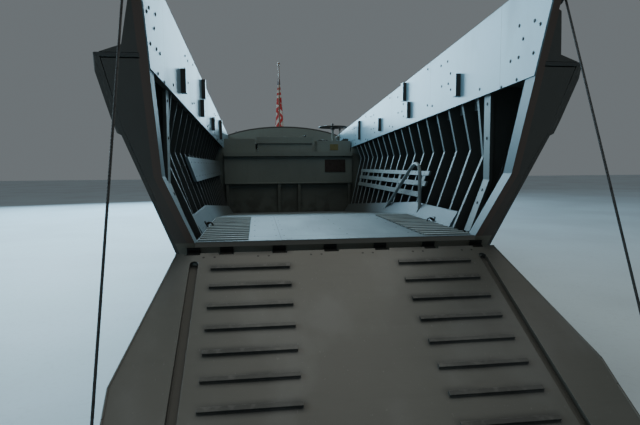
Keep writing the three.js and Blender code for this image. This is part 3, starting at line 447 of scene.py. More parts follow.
STRIP_HALF = 0.997
STRIP_SCREWS = 14
STRIP_PITCH = 0.146
sill_strip = bmesh.new()
block(sill_strip, at(-STRIP_HALF, -0.001, 0.001), at(STRIP_HALF, 0.048, 0.006), 0.002)
for i in range(STRIP_SCREWS):
    x = -0.95 + STRIP_PITCH * i
    bar(sill_strip, at(x, 0.026, 0.004), at(x, 0.026, 0.0075), 0.008, 10, 0.006)
fit("sill_strip", sill_strip, FLOOR_PAINT)

# rows aft of the sill, and to port in each row
SCREW_ROWS = (0.27, 0.6, 0.93, 1.26, 1.57)
SCREWS_IN_ROW = (-0.6, FLOOR_SEAM_X - 0.03, FLOOR_SEAM_X + 0.03, 0.1, 0.58)
floor_screws = bmesh.new()
for y in SCREW_ROWS:
    for x in SCREWS_IN_ROW:
        bar(floor_screws, at(x, y, -0.002), at(x, y, 0.0015), 0.007, 10, 0.005)
fit("floor_screws", floor_screws, DARK_STEEL)


# Wooden gratings beside the way in: grey weathered battens across, which give a foothold when wet.
# The grain is raised by the weather, and boots have rubbed the corners pale.
def grating_wood():
    f = Finish("grating_wood", (0.3, 0.38, 0.4), 0.75)
    f.tint(f.noise(0.02, size=(12, 1, 1), detail=5).fade(0.4, 0.7), (0.15, 0.18, 0.18))
    f.tint(f.noise(0.3, detail=3).fade(0.4, 0.7) * 0.5, (0.35, 0.42, 0.44))
    f.tint(f.edges(0.004) * 0.6, (0.36, 0.36, 0.32))
    f.height = f.noise(0.01, size=(20, 1, 1), detail=4)
    return f.close(0.6)


set_finish(grating_wood(), *both("bow_grating"))


# Fittings on the curbs: a lashing eye for the load on each side, of dark steel. The ring hangs from a
# stud in a round pad.
def ring(bm, middle, axis, radius, wire, sides=10, steps=28):
    """A round ring of round wire about an axis."""
    axis = Vector(axis).normalized()
    out = axis.orthogonal().normalized()
    turn = Matrix((out, axis, out.cross(axis))).transposed().to_4x4()
    start = Matrix.Translation(Vector(middle) + out * radius) @ turn
    wire_ring = bmesh.ops.create_circle(bm, segments=sides, radius=wire, matrix=start)
    edges = {e for v in wire_ring["verts"] for e in v.link_edges}
    bmesh.ops.spin(
        bm, geom=list(edges), cent=middle, axis=axis, angle=2 * math.pi, steps=steps, use_merge=True)


UP = Vector((0, 0, 1))
# aft of the sill and above it
LASHING_EYE = (0.9, 0.02)
lashing_eyes = bmesh.new()
for side_name, side in SIDES:
    point, normal = touch(skin(f"curb_{side_name}"), at(side * 0.7, *LASHING_EYE), (side, 0, 0))
    bar(lashing_eyes, point, point + normal * 0.008, 0.034, 20)
    bar(lashing_eyes, point, point + normal * 0.03, 0.008, 10)
    ring(lashing_eyes, point + normal * 0.03 - UP * 0.026, (0, 1, 0), 0.03, 0.006)
fit("lashing_eyes", lashing_eyes, DARK_STEEL)


# Port side of the well: three slats screwed to the frames, with a bent pipe handrail before them.
# Starboard side: one wide board, painted like the floor.
def slat_paint():
    f = brushed("slat_paint", (0.18, 0.23, 0.235), 0.5, 0.8, (1, 10, 1))
    f.tint(f.edges(0.004) * f.noise(0.03, detail=4).fade(0.4, 0.6) * 0.7, (0.3, 0.29, 0.26))
    return f.close()


def pipe_paint():
    f = brushed("pipe_paint", (0.3, 0.37, 0.385), 0.4)
    f.tint(f.noise(0.02, detail=6).fade(0.62, 0.7) * 0.8, (0.07, 0.07, 0.065), 0.5)
    return f.close()


SLAT_PAINT = slat_paint()
set_finish(SLAT_PAINT, "side_slats_port")
set_finish(pipe_paint(), "handrail")
set_finish(FLOOR_PAINT, "side_board_starboard")

# node, its side, frames that it is screwed to, heights above the sill
SCREWED = [
    ("side_slats_port", 1, 11, (0.432, 0.325, 0.21)),
    ("side_board_starboard", -1, 12, (0.42, 0.56)),
]
FRAME_PITCH = 0.3
slat_screws = bmesh.new()
for name, side, frames, heights in SCREWED:
    face = skin(name)
    for i in range(frames):
        for z in heights:
            point, normal = touch(face, at(side * 0.6, 1.62 + FRAME_PITCH * i, z), (side, 0, 0))
            bar(slat_screws, point, point + normal * 0.002, 0.006, 8)
fit("slat_screws", slat_screws, DARK_STEEL)

RAIL_X = sum(corner.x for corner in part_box("handrail")) / 2
# aft of the sill and above it
PIPE_FEET = [(1.395, 0.045), (2.79, -0.055)]
pipe_feet = bmesh.new()
for y, z in PIPE_FEET:
    bar(pipe_feet, at(RAIL_X, y, z - 0.02), at(RAIL_X, y, z + 0.02), 0.032, 20, 0.024)
fit("pipe_feet", pipe_feet, SLAT_PAINT)


# The after bulkhead: grey-green plywood, two panels and a ledge, stiffened by four posts.
# It carries a bare tally plate, and the helm's console above has a small one of brass.
# the height under which the bulkhead is painted darker: painted shade at its foot, and grime in blotches
SHADE_AND_GRIME_TOP = 0.25


def bulkhead_paint():
    f = brushed("bulkhead_paint", (0.165, 0.195, 0.178), 0.5)
    _, _, z = f.axes(f.place(at=at(0, 0, 0)))
    # A smooth band darker towards the floor: painted shade at the foot of the bulkhead.
    f.tint((SHADE_AND_GRIME_TOP - z).fade(0.0, 0.15) * 0.6, (0.06, 0.064, 0.055), 0.7)
    blotches = (SHADE_AND_GRIME_TOP - z).fade(0.0, 0.5) * f.noise(0.2, detail=6).fade(0.4, 0.65)
    f.tint(blotches * 0.6, (0.04, 0.04, 0.033), 0.7)
    f.tint(f.edges(0.006) * f.noise(0.05, detail=5).fade(0.45, 0.6) * 0.8, (0.22, 0.24, 0.22))
    return f.close()


BULKHEAD_PAINT = bulkhead_paint()
set_finish(
    BULKHEAD_PAINT, "well_bulkhead", "engine_casing", "engine_hatch", "helm_console", "turtle_bulkhead")

BULKHEAD_FACE = 5.4
BULKHEAD_HALF = 1.135


def tally(name, low, high, depth, colour, metal):
    """A bare plate with a raised rim and a screw in each corner."""
    f = Finish(name + "_face", colour, 0.5, metal)
    f.tint(f.noise(0.05, detail=6).fade(0.45, 0.7) * 0.6, tuple(0.5 * c for c in colour), 0.7)
    f.height = f.noise(0.01, detail=5)
    plate = bmesh.new()
    block(plate, low, high, 0.002)
    front = min(plate.faces, key=lambda face: face.normal.y)
    bmesh.ops.inset_region(plate, faces=[front], thickness=0.008, depth=0)
    bmesh.ops.inset_region(plate, faces=[front], thickness=0.002, depth=-depth / 3)
    for x in (low.x + 0.015, high.x - 0.015):
        for z in (low.z + 0.015, high.z - 0.015):
            bar(plate, (x, low.y, z), (x, low.y - 0.003, z), 0.005, 8)
    fit(name, plate, f.close(0.2, 0.001, 0.001))


tally("tally_plate", at(0.645, BULKHEAD_FACE - 0.009, 0.405), at(1.017, BULKHEAD_FACE, 0.627), 0.006,
      (0.045, 0.032, 0.028), 0.3)
CONSOLE_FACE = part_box("helm_console")[0].y - SILL_Y
tally("console_tally", at(0.755, CONSOLE_FACE - 0.004, 0.795), at(0.905, CONSOLE_FACE, 0.905), 0.003,
      (0.16, 0.145, 0.06), 0.2)

# battens along the upper and lower edge, and a row of bolts beside each
TRIM_HEIGHTS = (0.668, 0.212)
BOLT_HEIGHTS = (0.64, 0.24)
BOLTS_IN_ROW = 10
BOLT_PITCH = 0.235
FORWARD = Vector((0, -1, 0))
bulkhead_trim = bmesh.new()
for z in TRIM_HEIGHTS:
    low = at(-BULKHEAD_HALF, BULKHEAD_FACE - 0.012, z - 0.012)
    block(bulkhead_trim, low, at(BULKHEAD_HALF, BULKHEAD_FACE, z + 0.012), 0.003)
for i in range(BOLTS_IN_ROW):
    for z in BOLT_HEIGHTS:
        bolt(bulkhead_trim, at(-1.06 + BOLT_PITCH * i, BULKHEAD_FACE, z), FORWARD, 0.006, 0.004)
fit("bulkhead_trim", bulkhead_trim, BULKHEAD_PAINT)


# Behind the bulkhead: the engine under its casing, the timber bed it is bolted to, and the hatch over
# it. The hatch is plywood on battens with two bar handles, and lifts on a rod along its starboard edge.
def engine_paint():
    f = brushed("engine_paint", (0.09, 0.12, 0.105), 0.4)
    f.tint(f.noise(0.04, detail=6).fade(0.55, 0.8) * 0.7, (0.03, 0.028, 0.025), 0.6)
    return f.close()


def bearer_timber():
    f = Finish("bearer_timber", (0.2, 0.15, 0.1), 0.7)
    f.tint(f.noise(0.03, size=(1, 14, 1), detail=6).fade(0.35, 0.7), (0.1, 0.07, 0.045))
    f.tint(f.noise(0.3, detail=4).fade(0.5, 0.8) * 0.6, (0.04, 0.035, 0.03), 0.5)
    f.height = f.noise(0.015, size=(1, 18, 1), detail=5)
    return f.close()


ENGINE_PAINT = engine_paint()
set_finish(ENGINE_PAINT, "engine")
set_finish(bearer_timber(), "engine_bed")
set_finish(DARK_STEEL, "hatch_hinge", "ramp_hinge", *both("cable_sheave"))

engine_low, engine_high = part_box("engine")
COVER_TOP = engine_high.z + 0.07
CYLINDERS = 6
CYLINDER_PITCH = 0.17
engine_gear = bmesh.new()
# a cover over each row of valves, with a bolt and an injector to each cylinder
for x in (-0.17, 0.17):
    low = (x - 0.11, engine_low.y + 0.1, engine_high.z)
    block(engine_gear, low, (x + 0.11, engine_high.y - 0.35, COVER_TOP), 0.02)
    for i in range(CYLINDERS):
        top = Vector((x, engine_low.y + 0.18 + CYLINDER_PITCH * i, COVER_TOP))
        bolt(engine_gear, top, UP, 0.012, 0.012)
        bar(engine_gear, top + Vector((x * 0.9, 0, -0.1)), top + Vector((x * 0.9, 0, -0.02)), 0.018, 12)
# two filters and the manifold
for y in (0.2, 0.42):
    foot = Vector((0, engine_high.y - y, engine_high.z))
    bar(engine_gear, foot, foot + UP * 0.16, 0.07, 20)
manifold = Vector((-0.3, engine_low.y + 0.1, engine_high.z + 0.03))
bar(engine_gear, manifold, manifold + Vector((0, 1.2, 0)), 0.032, 16)
fit("engine_gear", engine_gear, ENGINE_PAINT)


def handle(bm, middle, along, reach, high, wire):
    """A bar handle between two feet on round pads."""
    along = Vector(along)
    ends = [Vector(middle) - along * reach / 2, Vector(middle) + along * reach / 2]
    for end in ends:
        bar(bm, end - UP * 0.004, end + UP * 0.006, wire * 2.4, 16)
        bar(bm, end, end + UP * (high + wire * 0.7), wire, 10)
    bar(bm, ends[0] + UP * high - along * wire, ends[1] + UP * high + along * wire, wire, 10)


hatch_low, hatch_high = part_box("engine_hatch")
HATCH_MIDDLE = (hatch_low.x + hatch_high.x) / 2
HINGE_STRAPS = 7
STRAP_PITCH = 0.21
hatch_gear = bmesh.new()
hatch_battens = bmesh.new()
for y in (hatch_low.y + 0.25, hatch_high.y - 0.25):
    handle(hatch_gear, (hatch_high.x - 0.12, y, hatch_high.z), (0, 1, 0), 0.16, 0.045, 0.008)
for x in (-0.3, 0.0, 0.3):
    low = (HATCH_MIDDLE + x - 0.02, hatch_low.y + 0.03, hatch_high.z - 0.001)
    block(hatch_battens, low, (HATCH_MIDDLE + x + 0.02, hatch_high.y - 0.03, hatch_high.z + 0.012), 0.004)
for i in range(HINGE_STRAPS):
    y = hatch_low.y + 0.16 + STRAP_PITCH * i
    low = (hatch_low.x + 0.005, y - 0.02, hatch_high.z - 0.001)
    block(hatch_gear, low, (hatch_low.x + 0.16, y + 0.02, hatch_high.z + 0.007), 0.002)
    for x in (0.06, 0.13):
        bolt(hatch_gear, Vector((hatch_low.x + x, y, hatch_high.z + 0.006)), UP, 0.006, 0.005)
fit("hatch_gear", hatch_gear, DARK_STEEL, "hatch")
fit("hatch_battens", hatch_battens, BULKHEAD_PAINT, "hatch")


# The helm: a plywood console with gauges let into its top, a knobbed throttle and a switch box.
# The wheel is a bent steel bar on three spokes, with a tapered hub and a nut.
def dial_face():
    f = Finish("dial_face", (0.75, 0.74, 0.68), 0.15)
    f.tint(f.noise(0.02).fade(0.4, 0.7) * 0.3, (0.6, 0.58, 0.5))
    return f.close(0.0)


CONSOLE_TOP = 0.968
# across, aft of the sill, radius
GAUGES = [(0.60, 5.70, 0.042), (0.70, 5.70, 0.042), (1.05, 5.70, 0.05)]
gauge_rims = bmesh.new()
gauge_faces = bmesh.new()
for x, y, radius in GAUGES:
    foot = at(x, y, CONSOLE_TOP - 0.002)
    bar(gauge_rims, foot, foot + UP * 0.02, radius, 28)
    ring(gauge_rims, foot + UP * 0.02, UP, radius, 0.005)
    bar(gauge_faces, foot + UP * 0.018, foot + UP * 0.0215, radius - 0.004, 28)
    bar(gauge_rims, foot + UP * 0.022, foot + Vector((0.6 * radius, 0.2 * radius, 0.022)), 0.0018, 6)
fit("gauge_rims", gauge_rims, DARK_STEEL)
fit("gauge_faces", gauge_faces, dial_face())

THROTTLE_KNOB = Matrix.Translation(at(0.9496, 5.5785, 1.172))
COMPASS = at(0.93, 5.65, CONSOLE_TOP + 0.062)
SWITCHES = (1.02, 1.05, 1.08)
console_gear = bmesh.new()
bmesh.ops.create_uvsphere(console_gear, u_segments=20, v_segments=12, radius=0.021, matrix=THROTTLE_KNOB)
block(console_gear, at(1.0, 5.52, CONSOLE_TOP - 0.002), at(1.1, 5.6, CONSOLE_TOP + 0.034), 0.004)
for x in SWITCHES:
    bar(console_gear, at(x, 5.56, CONSOLE_TOP + 0.03), at(x, 5.56, CONSOLE_TOP + 0.05), 0.006, 10)
ring(console_gear, COMPASS, UP, 0.046, 0.005)
fit("console_gear", console_gear, DARK_STEEL)

WHEEL_MIDDLE = at(0.83, 5.65, 1.222)
RIM_RADIUS = 0.25
SPOKES = 3
wheel = bmesh.new()
ring(wheel, WHEEL_MIDDLE, UP, RIM_RADIUS, 0.0135, 14, 72)
for i in range(SPOKES):
    angle = 2 * math.pi * i / SPOKES + math.pi / 6
    out = Vector((math.cos(angle), math.sin(angle), 0))
    bar(wheel, WHEEL_MIDDLE, WHEEL_MIDDLE + out * (RIM_RADIUS - 0.004), 0.012, 16, 0.008)
bar(wheel, WHEEL_MIDDLE - UP * 0.042, WHEEL_MIDDLE + UP * 0.03, 0.042, 28, 0.036)
bar(wheel, WHEEL_MIDDLE + UP * 0.028, WHEEL_MIDDLE + UP * 0.052, 0.022, 6)
bar(wheel, WHEEL_MIDDLE + UP * 0.05, WHEEL_MIDDLE + UP * 0.068, 0.012, 16)
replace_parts(fit("helm_wheel", wheel, DARK_STEEL, "helm"), "steering_wheel")


# The decks: plywood under sanded grey paint, with lifting eyes and cleats on the side decks and grab
# bars and two bitts on the arched after deck. Its two round tubs have a rolled steel lip.
def deck_paint():
    f = brushed("deck_paint", (0.18, 0.2, 0.187), 0.62)
    _, ny, _ = f.facing()
    f.tint(f.noise(0.5, detail=7).fade(0.5, 0.75) * 0.4, (0.19, 0.195, 0.185), 0.75)
    f.tint(f.noise(0.004, detail=2).fade(0.55, 0.75) * 0.35, (0.06, 0.06, 0.058))
    f.tint(f.edges(0.008) * f.noise(0.06, detail=5).fade(0.45, 0.6) * 0.7, (0.24, 0.235, 0.22))
    # Faces that look forward take the bow's outside colour and are painted darker still: painted shade,
    # as on the back-lit bow.
    f.tint((0 - ny).over(0.6), (0.06, 0.058, 0.055))
    f.height = f.noise(0.004, detail=2) + f.noise(0.3)
    return f.close(0.5, 0.001)


DECK_PAINT = deck_paint()
set_finish(DECK_PAINT, *both("side_deck"), "turtle_deck", *both("gun_tub"), "cockpit_floor")

# aft of the sill
LIFTING_EYES = (0.5, 6.2)
SIDE_CLEATS = (2.0, 4.2)
GRAB_BARS = (7.6, 8.6, 9.6)
BITTS = 9.75
GRAB_BAR_LONG = 0.32
deck_gear = bmesh.new()
for side_name, side in SIDES:
    deck_skin = skin(f"side_deck_{side_name}")
    for y in LIFTING_EYES:
        point, _ = touch(deck_skin, at(side * 1.32, y, 2.0), -UP)
        bar(deck_gear, point - UP * 0.004, point + UP * 0.012, 0.055, 24)
        ring(deck_gear, point + UP * 0.056, (0, 1, 0), 0.045, 0.012)
    for y in SIDE_CLEATS:
        point, _ = touch(deck_skin, at(side * 1.35, y, 2.0), -UP)
        foot = Vector((0.03, 0.11, 0.012))
        block(deck_gear, point - foot, point + foot, 0.003)
        for end in (-0.06, 0.06):
            bar(deck_gear, point + Vector((0, end, 0)), point + Vector((0, end, 0.055)), 0.014, 12)
        bar(deck_gear, point + Vector((0, -0.13, 0.058)), point + Vector((0, 0.13, 0.058)), 0.013, 12)
fit("deck_gear", deck_gear, DARK_STEEL)

tub_rims = bmesh.new()
for name in both("gun_tub"):
    tub_low, tub_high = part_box(name)
    middle = (tub_low + tub_high) / 2
    middle.z = tub_high.z
    radius = (tub_high.x - tub_low.x) / 2
    ring(tub_rims, middle, UP, radius - 0.006, 0.014, 10, 64)
    ring(tub_rims, middle - UP * 0.14, UP, radius, 0.008, 8, 64)
fit("tub_rims", tub_rims, DECK_PAINT)

after_gear = bmesh.new()
turtle_skin = skin("turtle_deck")
for x in (-1.0, 1.0):
    for y in GRAB_BARS:
        fore, _ = touch(turtle_skin, at(x, y - GRAB_BAR_LONG / 2, 3.0), -UP)
        aft, _ = touch(turtle_skin, at(x, y + GRAB_BAR_LONG / 2, 3.0), -UP)
        handle(after_gear, (fore + aft) / 2, (aft - fore).normalized(), GRAB_BAR_LONG, 0.05, 0.011)
for x in (-0.75, 0.75):
    point, _ = touch(turtle_skin, at(x, BITTS, 3.0), -UP)
    bar(after_gear, point - UP * 0.02, point + UP * 0.16, 0.04, 24)
    bar(after_gear, point + UP * 0.16, point + UP * 0.175, 0.052, 24)
    bar(after_gear, point + Vector((-0.1, 0, 0.11)), point + Vector((0.1, 0, 0.11)), 0.014, 12)
fit("after_gear", after_gear, DARK_STEEL)


# The coaming: steel plate bolted inside a plywood bulwark, in sheets butted every 1.42 m.
# The pockets on it are short steel channels, their fore sides painted dark as painted shade.
PLATE_SHEET = 1.42
POCKETS_WITHIN = 1.156


def plate_paint():
    f = brushed("plate_paint", (0.24, 0.4, 0.485), 0.3, 0.85, (1, 1, 10))
    x, y, _ = f.axes(f.place(at=at(0, 0, 0)))
    nx, ny, _ = f.facing()
    seam = 1 - abs((y + PLATE_SHEET / 2) % PLATE_SHEET - PLATE_SHEET / 2).fade(0.001, 0.004)
    f.tint(seam * 0.7, (0.05, 0.055, 0.055))
    f.tint(f.noise(0.25, size=(1, 1, 2), detail=7).fade(0.5, 0.75) * 0.35, (0.2, 0.24, 0.25), 0.5)
    # Faces that don't look across the boat are painted greyer: painted shade beside the lit inner faces.
    f.tint((0.5 - abs(nx)).over(0) * 0.5, (0.2, 0.21, 0.21), 0.5)
    # The pockets' fore faces are painted near-black: painted shade, as the light comes from behind them.
    f.tint((POCKETS_WITHIN - abs(x)).over(0) * (0 - ny).over(0.5), (0.055, 0.05, 0.047), 0.7)
    f.height = f.height * 0.5 - seam
    return f.close(0.3, 0.002)


set_finish(plate_paint(), *both("armour_plate"))
set_finish(HULL_GREY, *both("bulwark"))

# aft of the sill and above it
FORE_BOLTS = [
    (-0.424, 1.407), (-0.487, 1.370), (-0.242, 1.426), (-0.294, 1.330), (-0.419, 1.213), (-0.244, 1.223),
    (-0.139, 1.219), (-0.227, 1.081), (-0.020, 1.064), (0.320, 1.102)]
# aft of a seam, and above the sill at the foremost one
SEAM_BOLTS = [
    (-0.44, 1.449), (-0.28, 1.441), (-0.51, 1.330), (-0.46, 1.248), (-0.30, 1.250), (-0.52, 1.187),
    (0.08, 1.480), (0.08, 1.120), (-0.06, 1.100)]
# how far the rows fall in each metre aft
SHEER_FALL = 0.066
plate_bolts = bmesh.new()
for side_name, side in SIDES:
    plate_skin = skin(f"armour_plate_{side_name}")
    places = list(FORE_BOLTS)
    for sheet in range(1, 5):
        fall = SHEER_FALL * PLATE_SHEET * (sheet - 1)
        places += [(PLATE_SHEET * sheet + y, z - fall) for y, z in SEAM_BOLTS]
    # the aftmost sheet is cut off above its two lowest bolts
    for y, z in places:
        point, normal = touch(plate_skin, at(0, y, z), (side, 0, 0))
        if point is not None:
            bolt(plate_bolts, point, normal, 0.0085, 0.005)
fit("plate_bolts", plate_bolts, DARK_STEEL)


# The ensign: worn bunting sewn from red and white strips with a plain blue corner, limp in still air.
# Cloth bends but doesn't stretch, so it hangs from its head in long folds that fan out from there. The
# hoist is snapped to a varnished staff.
def varnished_wood():
    f = Finish("varnished_wood", (0.2, 0.12, 0.07), 0.3)
    f.tint(f.noise(0.02, size=(1, 1, 16), detail=5).fade(0.35, 0.7), (0.1, 0.055, 0.03))
    return f.close(0.2)


def bunting():
    f = Finish("bunting", (0.5, 0.035, 0.04), 0.9)
    sewn = f.node("ShaderNodeUVMap", {"uv_map": "sewn"})
    u, v, _ = f.axes(sewn)
    f.tint(((v * 13) % 2).over(1), (0.62, 0.6, 0.55))
    f.tint((0.4 - u).over(0) * v.over(6 / 13), (0.02, 0.03, 0.1))
    f.tint(f.noise(0.1, detail=5).fade(0.4, 0.8) * 0.35, (0.25, 0.2, 0.18))
    f.height = f.node("ShaderNodeTexNoise", {}, {"Vector": sewn, "Scale": 400.0, "Detail": 2.0})
    return f.close(0.2, 0.0006, 0.001)


VARNISHED_WOOD = varnished_wood()
set_finish(VARNISHED_WOOD, "ensign_staff")
STAFF_X = 0.06
STAFF_Y = 10.04
TRUCK_FOOT = at(STAFF_X, STAFF_Y, 3.204)
staff_truck = bmesh.new()
bar(staff_truck, TRUCK_FOOT, TRUCK_FOOT + UP * 0.014, 0.038, 24, 0.034)
fit("staff_truck", staff_truck, VARNISHED_WOOD)

HOIST = 0.88
FLY = 1.62
FLAG_HEAD = at(STAFF_X, STAFF_Y + 0.02, 3.165)
# slopes: how far the folds swing to each side, and how far each one lies behind the last
SWING = 0.078
FOLD_STEP = 0.004
RAYS = 240
RINGS = 40
TURN_STEP = 0.003


def fold_ray(turn):
    """Which way the cloth hangs from its head, so many radians into its swing to and fro."""
    swing = SWING * (0.85 + 0.15 * math.sin(0.43 * turn))
    return Vector((swing * math.sin(turn), FOLD_STEP * turn / math.pi, -1)).normalized()


def fold_rays():
    """Rays through the folds from the hoist to the upper edge, an equal angle apart in the cloth."""
    rays = [fold_ray(0)]
    turn = gone = 0.0
    while len(rays) <= RAYS:
        gone += (fold_ray(turn + TURN_STEP) - fold_ray(turn)).length
        turn += TURN_STEP
        if gone >= len(rays) * math.pi / 2 / RAYS:
            rays.append(fold_ray(turn))
    return rays


def flag_fan():
    """The flag as a fan about its head, whose rays are as long as the flat flag is that way."""
    rays = fold_rays()
    flat = {}
    fan = bmesh.new()
    bmesh.ops.create_grid(fan, x_segments=RAYS, y_segments=RINGS, size=0.5)
    sewn = fan.loops.layers.uv.new("sewn")
    for vert in fan.verts:
        angle = (vert.co.x + 0.5) * math.pi / 2
        # the innermost ring stays a little way out, so that no face is pinched to nothing
        share = 0.01 + 0.99 * (vert.co.y + 0.5)
        along = share * min(HOIST / max(math.cos(angle), 0.001), FLY / max(math.sin(angle), 0.001))
        flat[vert] = Vector((along * math.sin(angle) / FLY, 1 - along * math.cos(angle) / HOIST))
        vert.co = FLAG_HEAD + rays[round((vert.co.x + 0.5) * RAYS)] * along
    for face in fan.faces:
        for loop in face.loops:
            loop[sewn].uv = flat[loop.vert]
    return fan


flag = fit("flag", flag_fan(), bunting(), smooth=180)
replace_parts(flag, "ensign")

ensign_snaps = bmesh.new()
for drop in (0.01, HOIST / 2, HOIST - 0.01):
    ring(ensign_snaps, FLAG_HEAD - Vector((0, 0.018, drop)), UP, 0.0195, 0.0025)
fit("ensign_snaps", ensign_snaps, DARK_STEEL)


# Outside: guards faired into the bow and bolted through, an exhaust and scuppers in each quarter, and
# two towing eyes on the transom. The rudder is plate, and the screw is cast bronze with three blades.
def bronze():
    f = Finish("bronze", (0.32, 0.17, 0.06), 0.35, metal=1.0)
    f.tint(f.noise(0.05, detail=6).fade(0.45, 0.7) * 0.7, (0.1, 0.11, 0.07), 0.6)
    f.height = f.noise(0.01, detail=4)
    return f.close(0.2, 0.001, 0.001)


set_finish(HULL_GREY, "rudder")
BOW_RAKE = 0.4122
# the corners of a guard's fore end: above the sill, half-width as sawn, half-width as faired
RAIL_END = [
    (1.148, 1.495, 1.456), (1.058, 1.495, 1.463), (1.046, 1.449, 1.461),
    (0.817, 1.409, 1.418), (0.805, 1.438, 1.416), (0.720, 1.422, 1.395)]
for name in both("rub_rail"):
    rail = bmesh.new()
    rail.from_mesh(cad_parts[name].data)
    bmesh.ops.remove_doubles(rail, verts=rail.verts, dist=0.0001)
    for vert in rail.verts:
        x, y, z = vert.co - at(0, 0, 0)
        if abs(y + BOW_RAKE * z) < 0.004:
            for height, sawn, faired in RAIL_END:
                if abs(z - height) < 0.003 and abs(abs(x) - sawn) < 0.003:
                    vert.co.x = math.copysign(faired, x)
    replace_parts(fit(f"{name}_faired", rail, HULL_GREY), name)

# above the sill, how far the guard falls in each metre aft, and the bolts through it
RAIL_HEIGHT = 1.1
RAIL_FALL = 0.045
RAIL_BOLTS = 23
RAIL_PITCH = 0.42
rail_bolts = bmesh.new()
for side_name, side in SIDES:
    rail_skin = skin(f"rub_rail_{side_name}")
    for i in range(RAIL_BOLTS):
        y = 0.3 + RAIL_PITCH * i
        point, normal = touch(rail_skin, at(side * 2.5, y, RAIL_HEIGHT - RAIL_FALL * y), (-side, 0, 0))
        bar(rail_bolts, point - normal * 0.001, point + normal * 0.004, 0.013, 16, 0.008)
fit("rail_bolts", rail_bolts, DARK_STEEL)

# aft of the sill, above it, radius: the exhaust and two scuppers
OUTLETS = [(9.2, 0.1, 0.055), (7.5, 0.25, 0.03), (6.2, 0.2, 0.03)]
quarter_gear = bmesh.new()
for side_name, side in SIDES:
    shell = skin(f"side_shell_{side_name}")
    for y, z, radius in OUTLETS:
        point, normal = touch(shell, at(side * 2.5, y, z), (-side, 0, 0))
        bar(quarter_gear, point - normal * 0.02, point + normal * 0.006, radius * 1.5, 28)
        bar(quarter_gear, point, point + normal * 0.03, radius, 28)
stern = skin("transom")
for x in (-0.7, 0.7):
    point, normal = touch(stern, at(x, 12, 0.25), (0, -1, 0))
    bar(quarter_gear, point - normal * 0.002, point + normal * 0.012, 0.06, 24)
    ring(quarter_gear, point + normal * 0.05, (1, 0, 0), 0.04, 0.012)
fit("quarter_gear", quarter_gear, DARK_STEEL)

BLADES = 3
SCREW_RADIUS = 0.272
SCREW_PITCH = 0.51
SHAFT_TILT = math.radians(4)
SCREW_PLACE = Matrix.Translation(at(0, 8.77, -0.85)) @ Matrix.Rotation(-SHAFT_TILT, 4, "X")


def blade(bm, turn):
    """A screw's blade: its chord wraps round the shaft at a steady pitch, and narrows to a round tip."""
    made = bmesh.ops.create_grid(bm, x_segments=16, y_segments=20, size=0.5)
    for vert in made["verts"]:
        share = 0.16 + 0.84 * (vert.co.y + 0.5)
        r = share * SCREW_RADIUS
        width = 1.2 * SCREW_RADIUS * math.sqrt(max(0, 1.0004 - share ** 4)) * (0.3 + 0.5 * share)
        chord = width * vert.co.x
        slope = math.atan(SCREW_PITCH / (2 * math.pi * r))
        round_shaft = chord * math.cos(slope) / r
        vert.co = (r * math.sin(round_shaft), chord * math.sin(slope), r * math.cos(round_shaft))
    bmesh.ops.rotate(bm, verts=made["verts"], matrix=Matrix.Rotation(turn, 3, "Y"))


blades = bmesh.new()
for i in range(BLADES):
    blade(blades, 2 * math.pi * i / BLADES)
bmesh.ops.transform(blades, matrix=SCREW_PLACE, verts=blades.verts)
BRONZE = bronze()
screw_blades = fit("screw_blades", blades, BRONZE, "screw")
thicken = screw_blades.modifiers.new("thicken", "SOLIDIFY")
thicken.thickness = 0.009
thicken.offset = 0
hub = bmesh.new()
bar(hub, (0, -0.3, 0), (0, 0, 0), 0.024, 20)
bar(hub, (0, -0.085, 0), (0, 0.06, 0), 0.05, 32, 0.052)
bar(hub, (0, 0.06, 0), (0, 0.085, 0), 0.052, 32, 0.044)
bar(hub, (0, 0.083, 0), (0, 0.15, 0), 0.034, 32, 0.014)
bmesh.ops.transform(hub, matrix=SCREW_PLACE, verts=hub.verts)
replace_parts(fit("screw_hub", hub, BRONZE, "screw"), "propeller")


# The ramp: steel plate in dark grey, worn where boots and wheels go, with a gutter pressed along each
# side and cleats welded across. Its edges are beaded, and a shackle at each side takes the cable.
RAMP_PIN = (0, -0.022, -0.097)
RAMP_TILT = math.radians(29)
RAMP_BACK = Vector((0, math.cos(RAMP_TILT), math.sin(RAMP_TILT)))
RAMP_UP = Vector((0, -math.sin(RAMP_TILT), math.cos(RAMP_TILT)))
CLEAT_PITCH = 0.172
FIRST_CLEAT = 0.165
# the middle of each row of cleats and of each gutter, and half a gutter's width
CLEAT_X = 0.625
GUTTER_X = 0.9925
GUTTER_HALF = 0.0265
# heights above the pin's plane: just under the plate's face, where a cleat's sides start to carry painted
# shade, and just under a cleat's top
PLATE_TOP = 0.037
CLEAT_SHOULDER = 0.0435
CLEAT_TOP = 0.0545


def on_ramp(x, along, high):
    """A point given across the ramp, down its slope from the hinge pin, and above the pin's plane."""
    return at(*RAMP_PIN) + Vector((x, 0, 0)) - RAMP_BACK * along + RAMP_UP * high


